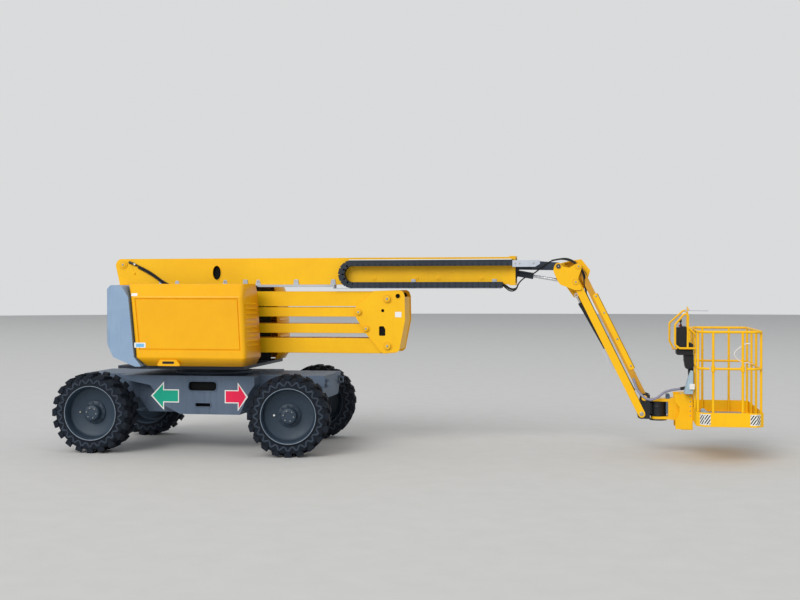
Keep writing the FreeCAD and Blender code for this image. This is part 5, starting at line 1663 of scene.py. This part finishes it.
@dataclass
class Upright:
    """Pair of knuckle plates at the front of the riser arms."""

    face: float = 262
    inner_face: float = 240

    def make(self) -> None:
        """Cuts the plates' holes and adds their rims, the painted shade behind the holes and the edge strip.
        """
        cuts = Form()
        handhole = [(2372, 1522), (2458, 1522), (2458, 1610), (2436, 1650), (2372, 1650)]
        for sign in (-1, 1):
            outer, inner = sign * (self.face + 2), sign * (self.inner_face - 2)
            cuts.side_plate(rounded(handhole, 16), outer, inner)
            cuts.side_plate(oval(2423, 1857, 22, 22, 24), outer, inner)
            cuts.side_plate(oval(2627, 2051, 36, 36, 32), outer, inner)
        soften("upright", "upright", ENAMEL, 3, cuts=cuts)
        form = Form()
        for sign in (-1, 1):
            collar = [(0, 40), (6, 40), (6, 31), (-20, 31), (-20, 36), (0, 36)]
            form.lathe(at(2627, sign * self.face, 2051), Vector((0, sign, 0)), collar, 32, closed=True)
            strip = [(2598, 1303), (2446, 1290), (2394, 1312), (2194, 1563), (2066, 1762), (2084, 1768)]
            strip += [(2208, 1575), (2402, 1330), (2448, 1309), (2592, 1320)]
            form.side_plate(strip, sign * self.face, sign * (self.face + 6))
        form.piece("upright_strips", "upright", [ENAMEL], edge=1.5)
        # Black plates behind the holes: painted shade inside the hollow plates
        form = Form()
        for sign in (-1, 1):
            back = sign * (self.inner_face - 4)
            for x, z, half_x, half_z in ((2415, 1586, 60, 78), (2423, 1857, 32, 32), (2627, 2051, 44, 44)):
                form.side_plate(oval(x, z, half_x, half_z, 16), back, back - sign * 3)
        form.piece("upright_lining", "upright", [PAINTED_SHADE_BLACK])


@dataclass
class Boom:
    """Outer boom with its sight hole, welded rings, lugs and the pale plate on the inner boom."""

    half_width: float = 150
    top: float = 2565

    def make(self) -> None:
        """Cuts the boom's hole and dresses what is welded to it."""
        cuts = Form()
        cuts.side_plate(oval(93, 2368, 58, 98, 40), -self.half_width - 2, self.half_width + 2)
        corner = [(-1400, 2590), (-1400, 2440), (-1374, 2440), (-1366, 2500), (-1344, 2540)]
        corner += [(-1300, 2568), (-1290, 2590)]
        cuts.side_plate(corner, -self.half_width - 20, self.half_width + 20)
        soften("boom_outer", "boom", ENAMEL, 5, cuts=cuts)
        form = Form()
        seam = [(-1152, 2560), (-1128, 2500), (-1120, 2420), (-1106, 2360), (-1062, 2290), (-985, 2236)]
        seam += [(-900, 2214)]
        for sign in (-1, 1):
            ring = [(x, sign * self.half_width, z) for x, z in oval(93, 2368, 62, 102, 36)]
            pipe(form, ring, 6, ENAMEL, sides=10, loop=True)
            pipe(form, [(x, sign * (self.half_width - 1), z) for x, z in seam], 4, ENAMEL, 60, 10)
        form.slot = 1
        for sign in (-1, 1):
            outward = Vector((0, sign, 0))
            form.hex_head(at(-1095, sign * self.half_width, 2366), outward, 26, 12)
            boss = [(0, 62), (7, 62), (11, 56), (11, 0)]
            form.lathe(at(-1259, sign * self.half_width, 2487), outward, boss, 40)
        form.piece("boom_rings", "boom", [ENAMEL, ENAMEL])
        # Black plates behind the sight hole: painted shade inside the boom
        form = Form()
        for sign in (-1, 1):
            y_from, y_to = sign * (self.half_width - 34), sign * (self.half_width - 38)
            form.side_plate(oval(93, 2368, 66, 106, 24), y_from, y_to)
        form.piece("boom_hole_backs", "boom", [PAINTED_SHADE_BLACK])
        self.lugs()
        form = Form()
        form.side_plate([(4147, 2432), (4440, 2432), (4504, 2470), (4500, 2519), (4147, 2519)], -293, -289)
        form.slot = 1
        for x in (4185, 4240, 4420):
            form.hex_head(at(x, -293, 2476), Vector((0, -1, 0)), 16, 8)
        form.piece("chain_end_plate", "boom_inner", [PALE_SHEET, BOLT_ZINC])

    def lugs(self) -> None:
        """Makes the chain tray's brackets with their round eyes, and the clips inside the chain's loop."""
        form = Form()
        for x in (-476, 212, 679, 1212, 1726):
            eye = x in (212, 679, 1212)
            top = 2272 if eye else 2262
            outline = [(x - 42, 2192), (x + 42, 2192), (x + 26, 2240), (x + 20, top)]
            outline += [(x - 20, top), (x - 26, 2240)]
            form.slot = 0
            form.side_plate(rounded(outline, 14, 3), -self.half_width - 8, -self.half_width)
            if eye:
                form.slot = 1
                ring = [(0, 9), (0, 17), (5, 17), (5, 9)]
                form.lathe(at(x, -self.half_width - 8, 2246), Vector((0, -1, 0)), ring, 24, closed=True)
        form.slot = 2
        for x in (2290, 2860, 3150, 3730):
            clip = [(x - 26, 2264), (x + 26, 2264), (x + 26, 2306), (x - 26, 2306)]
            form.side_plate(rounded(clip, 8, 2), -158, -150)
            form.hex_head(at(x, -158, 2286), Vector((0, -1, 0)), 14, 7)
        form.piece("boom_lugs", "boom", [PALE_SHEET, BOLT_ZINC, ENAMEL], edge=1)


@dataclass
class Jib:
    """Jib head, the bars' raised strips and fork plates, and the cylinder's bracket."""

    head_pin: Place = (4735, 2440)
    bar_pin: Place = (4960, 2232)
    link_pin: Place = (4995, 2437)
    foot_pin: Place = (5803, 527)
    cheek_inner: float = 122
    cheek_outer: float = 140

    def on_bar(self, along: float, across: float) -> Place:
        """Place beside the lower bar.

        Args:
            along: Millimetres from its upper pin towards the foot.
            across: Millimetres to its upper side.

        Returns:
            The place as (x, z) in millimetres.
        """
        run = Vector(self.foot_pin) - Vector(self.bar_pin)
        run.normalize()
        place = Vector(self.bar_pin) + run * along + Vector((-run.y, run.x)) * across
        return (place.x, place.y)

    def bar_plate(self, form: Form, corners: Sequence[Place], y_from: float, y_to: float) -> None:
        """Adds a plate that is set out along the lower bar.

        Args:
            form: Where it is gathered.
            corners: Its corners along and across the bar, in millimetres.
            y_from: Millimetres at one face.
            y_to: Millimetres at the other face.
        """
        form.side_plate([self.on_bar(*corner) for corner in corners], y_from, y_to)

    def head(self) -> None:
        """Makes the jib head: a low near cheek, a tall far cheek, their pins and the web between."""
        form = Form()
        near = [(4668, 2382), (4680, 2440), (4700, 2474), (4735, 2488), (4768, 2474), (4794, 2436)]
        near += [(4875, 2420), (4962, 2470), (4995, 2484), (5030, 2468), (5040, 2430), (5022, 2372)]
        near += [(4990, 2285), (5014, 2200), (5044, 2131), (4951, 2126), (4761, 2198), (4729, 2241)]
        near += [(4702, 2296)]
        form.side_plate(rounded(near, 22, 3), -self.cheek_outer, -self.cheek_inner)
        far = [(4667, 2415), (4690, 2455), (4731, 2480), (4886, 2518), (5027, 2537), (5143, 2387)]
        far += [(5092, 2219), (5040, 2102), (4976, 2030), (4930, 2030), (4822, 2180), (4744, 2230)]
        form.side_plate(rounded(far, 26, 3), self.cheek_inner, self.cheek_outer)
        web = [(4800, 2475), (4886, 2498), (4945, 2506), (4945, 2524), (4886, 2516), (4800, 2494)]
        form.side_plate(web, 40, self.cheek_inner)
        for x, z in (self.head_pin, self.bar_pin, self.link_pin):
            form.pin(at(x, -self.cheek_outer, z), at(x, self.cheek_outer, z), 29)
        made = form.piece("jib_head_plates", "jib_head", [ENAMEL], edge=3)
        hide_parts("jib_head")

    def strips(self) -> None:
        """Makes the bright raised strip on each side of the upper bar, with its bolts."""
        form = Form()
        strip = [(262, 112), (1322, 112), (1338, 128), (1338, 186), (262, 186), (246, 170), (246, 128)]
        for sign in (-1, 1):
            form.slot = 0
            self.bar_plate(form, strip, sign * 70, sign * 78)
            self.bar_plate(form, [(246, 178), (1338, 178), (1338, 186), (246, 186)], sign * 50, sign * 78)
            form.slot = 1
            for along in (280, 520, 900, 1290):
                x, z = self.on_bar(along, 150)
                form.hex_head(at(x, sign * 78, z), Vector((0, sign, 0)), 20, 10)
        form.piece("jib_link_strips", "jib_upper_bar", [ENAMEL, BOLT_ZINC], edge=1.5)

    def forks(self) -> None:
        """Makes the fork plates that carry the lower bar's end over the foot's cheeks."""
        form = Form()
        fork = [(1570, -46), (1570, 46), (1905, 46), (1938, 34), (1952, 0), (1938, -34), (1905, -46)]
        spacer = [(1574, -40), (1574, 40), (1620, 40), (1620, -40)]
        x, z = self.foot_pin
        for sign in (-1, 1):
            outward = Vector((0, sign, 0))
            form.slot = 0
            self.bar_plate(form, fork, sign * 142, sign * 150)
            self.bar_plate(form, spacer, sign * 109, sign * 143)
            form.slot = 1
            form.lathe(at(x, sign * 150, z), outward, [(0, 27), (5, 27), (7, 24), (7, 0)], 28)
            form.hex_head(at(x, sign * 157, z), outward, 16, 8)
        form.piece("jib_fork_plates", "jib_lower_bar", [ENAMEL, BOLT_ZINC], edge=1.5)

    def bracket(self) -> None:
        """Makes the pale bracket that ties the jib cylinder's rod end to the lower bar."""
        form = Form()
        plate = [(950, -40), (1240, -40), (1230, -70), (1120, -92), (960, -96), (935, -70)]
        for sign in (-1, 1):
            self.bar_plate(form, plate, sign * 62, sign * 70)
        form.piece("jib_cylinder_bracket", "jib_lower_bar", [PALE_SHEET], edge=1)

    def actuator(self) -> None:
        """Makes the pale flange, the cap screws and the seam on the turning actuator."""
        form = Form()
        band = [(0, 108), (0, 111), (4, 113), (14, 113), (18, 111), (18, 108)]
        for z in (440, 612):
            form.lathe(at(6016, 0, z), UP, band, 64, closed=True)
        form.piece("actuator_bands", "jib_foot", [BLACK_PAINT])
        form = Form()
        form.side_plate(rounded([(6112, 528), (6162, 528), (6162, 782), (6112, 782)], 18, 4), -88, 88)
        form.piece("actuator_flange", "jib_foot", [CHASSIS_PAINT], edge=3)
        form = Form()
        plate = [(6211, 792), (6225, 693), (6282, 621), (6266, 523), (6225, 461), (6225, 345)]
        plate += [(6436, 345), (6436, 790)]
        for sign in (-1, 1):
            form.slot = 0
            form.side_plate(rounded(plate, 12, 3), sign * 200, sign * 207)
            form.slot = 1
            for z in (520, 580, 640, 700, 760):
                form.hex_head(at(6412, sign * 207, z), Vector((0, sign, 0)), 14, 6)
        form.piece("bracket_side_plates", "basket", [ENAMEL, BOLT_ZINC], edge=1.5)

    def make(self) -> None:
        """Makes the whole jib's dress."""
        self.head()
        self.strips()
        self.forks()
        self.bracket()
        self.actuator()


@dataclass
class TailBlock:
    """Counterweight with its cast, rounded corners."""

    edge: float = 16

    def make(self) -> None:
        """Makes the casting from its packed form with wide rounded edges."""
        soften(
            "counterweight",
            "turntable",
            CASTING,
            self.edge,
            longer_than=60,
            name="counterweight_casting",
            sharp=28,
            segments=3,
        )


@dataclass
class Fastenings:
    """Pin caps, bolts and bosses at the pivots, with a ring of painted shadow round each cap."""

    # Columns: body, x, z, y of the face, radius of the boss, size of the bolt
    caps: tuple[tuple[str, float, float, float, float, float], ...] = (
        ("upright", 2485, 2014, 284, 42, 26),
        ("upright", 2488, 1387, 284, 42, 26),
        ("upright", 2199, 1617, 284, 34, 22),
        ("upright", 2097, 1837, 284, 34, 22),
        ("boom_head", -800, 2014, 284, 42, 24),
        ("boom", -1259, 2487, 161, 40, 24),
        ("jib_head", 4735, 2440, 140, 36, 18),
        ("jib_head", 4960, 2232, 140, 36, 18),
        ("jib_head", 4995, 2437, 140, 36, 18),
        ("jib_foot", 5838, 732, 140, 32, 18),
    )

    def make(self) -> None:
        """Makes a cap with its bolt, ringed with painted shadow, at each end of each pin."""
        for index, (body, x, z, face, radius, size) in enumerate(self.caps):
            form = Form()
            for sign in (-1, 1):
                outward = Vector((0, sign, 0))
                seat = at(x, sign * face, z)
                form.slot = 0
                form.lathe(seat, outward, [(0, radius), (5, radius), (8, radius - 4), (8, 0)], 40)
                form.slot = 1
                form.hex_head(seat + outward * 0.008, outward, size, size * 0.45)
                # A thin ring of darker enamel round the cap: painted shadow of the gap round it
                form.slot = 2
                shadow_ring = [(0, radius), (0, radius + 5), (1.2, radius + 5), (1.2, radius)]
                form.lathe(seat, outward, shadow_ring, 40, closed=True)
            form.piece(f"pin_caps_{index}", body, [ENAMEL, BOLT_ZINC, PAINTED_SHADE_ENAMEL])


@dataclass
class Signs:
    """Generic direction arrows and blank labels."""

    def arrow(self, name: str, tip: float, head: float, tail: float, side: float, finish: Finish) -> None:
        """Makes a bordered arrow on the chassis side.

        Args:
            name: The piece's name.
            tip: Place of the point along the machine in millimetres.
            head: Where the head meets the shaft.
            tail: Where the shaft ends.
            side: Millimetres across the machine, on the chassis side's face.
            finish: Colour of the film.
        """
        form = Form()
        outward = Vector((0, math.copysign(1.0, side), 0))
        way = math.copysign(1.0, tip - tail)
        z = 728
        # Columns: slot, millimetres that the outline draws in, and the film's thickness in millimetres
        for slot, grow, lift in ((0, 0.0, 0.3), (1, 13.0, 0.6)):
            form.slot = slot
            base, rise = way * grow, (190 - grow * 2.6, 87 - grow)
            upper = [(head + base, z + rise[0]), (head + base, z + rise[1]), (tail + base, z + rise[1])]
            lower = [(tail + base, z - rise[1]), (head + base, z - rise[1]), (head + base, z - rise[0])]
            outline = [(tip - base * 1.9, z), *upper, *lower]
            form.drawn([at(x, side, height) for x, height in outline], outward * lift * MM)
        form.piece(name, "chassis", [WHITE_FILM, finish])

    def label(self, name: str, body: str, corners: Sequence[Point]) -> None:
        """Makes a bare label.

        Args:
            name: The piece's name.
            body: Body that it rides on.
            corners: Its corners in order, in millimetres, seen with its face towards the eye anticlockwise.
        """
        form = Form()
        places = [at(*corner) for corner in corners]
        outward = (places[1] - places[0]).cross(places[2] - places[1]).normalized()
        form.drawn([place + outward * 0.0004 for place in places], outward * 0.0008)
        form.piece(name, body, [WHITE_FILM])

    def make(self) -> None:
        """Makes the arrows and labels."""
        for side in Side:
            y = side.value * 750
            self.arrow(f"arrow_green_{side.tag}", -626, -444, -236, y, GREEN_FILM)
            self.arrow(f"arrow_red_{side.tag}", 712, 572, 395, y, RED_FILM)
        y = -262.4
        knuckle = [(2590, y, 1770), (2676, y, 1770), (2676, y, 1842), (2590, y, 1842)]
        self.label("knuckle_label", "upright", knuckle)
        corner = [(-742, -1142, 2056), (-660, -1142, 2056), (-664, -1112, 2092), (-746, -1112, 2092)]
        self.label("hood_corner_label", "hood_near", corner)


@dataclass
class Hoses:
    """Hydraulic hoses and conduits that the machine carries."""

    def hose(
        self,
        name: str,
        body: Optional[str],
        points: Sequence[Point],
        radius: float,
        finish: Finish = HOSE_RUBBER,
        ribs: float = 0.0,
    ) -> bpy.types.Object:
        """Makes one hose.

        Args:
            name: The piece's name.
            body: Body that it rides on, or None.
            points: Control points in millimetres.
            radius: Millimetres.
            finish: The hose's cover.
            ribs: Spacing of its corrugations in millimetres, or 0 for a smooth cover.

        Returns:
            The hose.
        """
        form = Form()
        if ribs > 0:
            form.tube(
                route_line(points, 60),
                lambda run: radius * (1 + 0.1 * math.sin(2 * math.pi * run / ribs)),
                12,
            )
        else:
            form.tube(route_line(points, 12), radius, 12)
        return form.piece(name, body, [finish])

    def boom_rear(self) -> None:
        """Makes the pair of hoses at the boom's rear end with their fitting."""
        rear = [(-1140, -160, 2508), (-1038, -166, 2470), (-864, -172, 2386), (-740, -170, 2300)]
        rear += [(-640, -166, 2225), (-560, -120, 2200)]
        self.hose("boom_rear_hose", "boom", rear, 12)
        self.hose("boom_rear_hose_2", "boom", [(x, y, z - 26) for x, y, z in rear[1:]], 11)
        form = Form()
        start, end = at(-1172, -162, 2520), at(-1100, -164, 2494)
        form.pin(start, end, 18, 2, 20)
        form.slot = 1
        form.pin(end, at(-1070, -166, 2482), 20, 2, 20)
        form.piece("boom_rear_fitting", "boom", [BLACK_PAINT, BOLT_ZINC])

    def boom_end(self) -> None:
        """Makes the slack loops between the boom's end and the inner boom's hose run."""
        for index, (y, drop) in enumerate(((-190, 0), (-176, 22), (-160, -14))):
            loop = [(3960, y, 2232), (4030, y, 2196 - drop), (4110, y, 2130 - drop)]
            loop += [(4190, y, 2140 - drop * 0.5), (4216, y * 0.95, 2220), (4300, y * 0.9, 2300)]
            loop += [(4420, y * 0.85, 2350)]
            made = self.hose(f"boom_end_hose_{index}", None, loop, 8)
            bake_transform(made)
            run = [loop[-1], (4490, y * 0.8, 2400), (4560, y * 0.7, 2470), (4640, y * 0.65, 2508)]
            self.hose(f"boom_inner_hose_{index}", "boom_inner", run, 8)

    def jib_head(self) -> None:
        """Makes the hoses that arch over the jib head and dive between the jib's bars."""
        for index, (y, rise, reach) in enumerate(((-108, 0, 0), (-84, 16, 26), (-58, 8, 60), (-30, 22, 40))):
            over = [(4640, y, 2508 + rise * 0.5), (4740, y, 2534 + rise * 0.3), (4840, y, 2526 + rise)]
            over += [(4930, y, 2490 + rise), (5010, y, 2420 + rise)]
            over += [(5064 + reach * 0.6, y * 0.9, 2320 + reach * 0.5), (5062 + reach * 0.5, y * 0.6, 2210)]
            middle = tuple((a + b) / 2 for a, b in zip(over[3], over[4]))
            made = self.hose(f"jib_head_hose_{index}", None, over[:4] + [middle], 8)
            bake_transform(made)
            x, z = Jib().on_bar(190, 54)
            dive = [middle, *over[4:], (x, -44 + 23 * index, z)]
            made = self.hose(f"jib_dive_hose_{index}", None, dive, 8)
            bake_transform(made)

    def jib_run(self) -> None:
        """Makes the hoses and clips between the jib's bars."""
        jib = Jib()
        for index, (y, lift) in enumerate(((-44, 48), (-22, 49), (2, 47), (26, 48))):
            rows = [(190, 54), (280, 50), (420, lift), (700, lift - 1), (980, lift + 1), (1240, lift)]
            rows += [(1480, lift), (1600, 54)]
            places = [jib.on_bar(*row) for row in rows]
            self.hose(f"jib_run_hose_{index}", "jib_lower_bar", [(x, y, z) for x, z in places], 8)
        form = Form()
        for along in (470, 830, 1180):
            clip = [(along - 16, 38), (along + 16, 38), (along + 16, 58), (along - 16, 58)]
            jib.bar_plate(form, clip, -58, 40)
        form.piece("jib_hose_clips", "jib_lower_bar", [HOUSING], edge=2)

    def conduit(self) -> None:
        """Makes the corrugated conduit that swings up to the basket, and its clamp."""
        points = [(5700, -60, 980), (5722, -110, 880), (5790, -150, 770), (5900, -168, 704)]
        points += [(6010, -168, 742), (6080, -150, 812), (6180, -140, 842), (6300, -140, 858)]
        points += [(6380, -150, 880)]
        made = self.hose("basket_conduit", None, points, 16, CONDUIT, ribs=15)
        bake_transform(made)
        form = Form()
        form.tube(route_line([(6290, -140, 858), (6330, -142, 864), (6392, -152, 884)], 6), 21, 14)
        form.piece("conduit_sleeve", "basket", [HOUSING])

    def make(self) -> None:
        """Makes every hose."""
        self.boom_rear()
        self.boom_end()
        self.jib_head()
        self.jib_run()
        self.conduit()


@dataclass
class Studio:
    """Floor, light and the photograph's camera."""

    eye: Point = (2.663, -16.132, 2.142)
    yaw: float = -9.71
    pitch: float = -0.51
    roll: float = -0.06
    focal_px: float = 1215.0
    frame_px: float = 800.0
    sensor_mm: float = 36.0

    def camera(self) -> None:
        """Makes the camera at the photograph's viewing angle."""
        data = bpy.data.cameras.new("view")
        data.sensor_width = self.sensor_mm
        data.lens = self.focal_px / self.frame_px * self.sensor_mm
        data.clip_end = 400.0
        camera = shown("view", data)
        camera.location = self.eye
        yaw, pitch = math.radians(self.yaw), math.radians(self.pitch)
        ahead = Vector((math.sin(yaw) * math.cos(pitch), math.cos(yaw) * math.cos(pitch), math.sin(pitch)))
        camera.rotation_mode = "QUATERNION"
        turn = ahead.to_track_quat("-Z", "Y")
        camera.rotation_quaternion = turn @ Matrix.Rotation(math.radians(self.roll), 3, "Z").to_quaternion()
        bpy.context.scene.camera = camera

    def floor(self) -> None:
        """Makes the pale floor."""
        form = Form()
        form.lathe(Vector((0, 0, -0.02)), UP, [(0, 90000), (20, 90000)], 96)
        mesh = settled(form.mesh, "floor")
        material = bpy.data.materials.new("pale_studio_floor")
        tree = emptied(material)
        where = put(tree, "ShaderNodeTexCoord").outputs["Object"]
        mottle = put(tree, "ShaderNodeTexNoise", {"Scale": 3.0, "Detail": 6.0, "Vector": where})
        tones = {0: mottle, 6: linear("#CFCECB"), 7: linear("#C6C5C1")}
        tone = put(tree, "ShaderNodeMix", tones, data_type="RGBA")
        finish = {"Roughness": 0.85, "Base Color": tone.outputs[2]}
        put(tree, "ShaderNodeOutputMaterial", {"Surface": put(tree, "ShaderNodeBsdfPrincipled", finish)})
        mesh.materials.append(material)
        shown("floor", mesh)

    def light(self) -> None:
        """Makes the soft, even daylight of an open studio."""
        world = bpy.data.worlds.new("studio")
        bpy.context.scene.world = world
        tree = emptied(world)
        seen = put(tree, "ShaderNodeLightPath").outputs["Is Camera Ray"]
        soft = put(tree, "ShaderNodeBackground", {"Color": linear("#EEF1F6"), "Strength": 0.75})
        pale = put(tree, "ShaderNodeBackground", {"Color": linear("#DADBDC"), "Strength": 1.0})
        mixed = put(tree, "ShaderNodeMixShader", {0: seen, 1: soft, 2: pale})
        put(tree, "ShaderNodeOutputWorld", {"Surface": mixed})
        lamp = bpy.data.lights.new("key", "SUN")
        lamp.energy = 1.8
        lamp.angle = math.radians(35)
        lamp.color = (1.0, 0.985, 0.96)
        key = shown("key", lamp)
        key.rotation_mode = "QUATERNION"
        key.rotation_quaternion = Vector((0.3, 0.85, -0.55)).to_track_quat("-Z", "Y")

    def make(self) -> None:
        """Makes the whole studio."""
        self.camera()
        self.floor()
        self.light()
        bpy.context.scene.view_settings.view_transform = "Standard"


def main() -> None:
    """Builds every sub-assembly in order."""
    logging.basicConfig(level=logging.INFO, format="%(message)s")
    wheels = [Wheel(end, side) for end in ("rear", "front") for side in Side]
    parts = [Studio(), Steelwork(), Chassis(), Upright(), Boom(), Jib(), TailBlock(), HoodPair(), *wheels]
    parts += [Basket(), EnergyChain(), Fastenings(), Signs(), Hoses()]
    for part in parts:
        part.make()


if __name__ == "__main__":
    main()
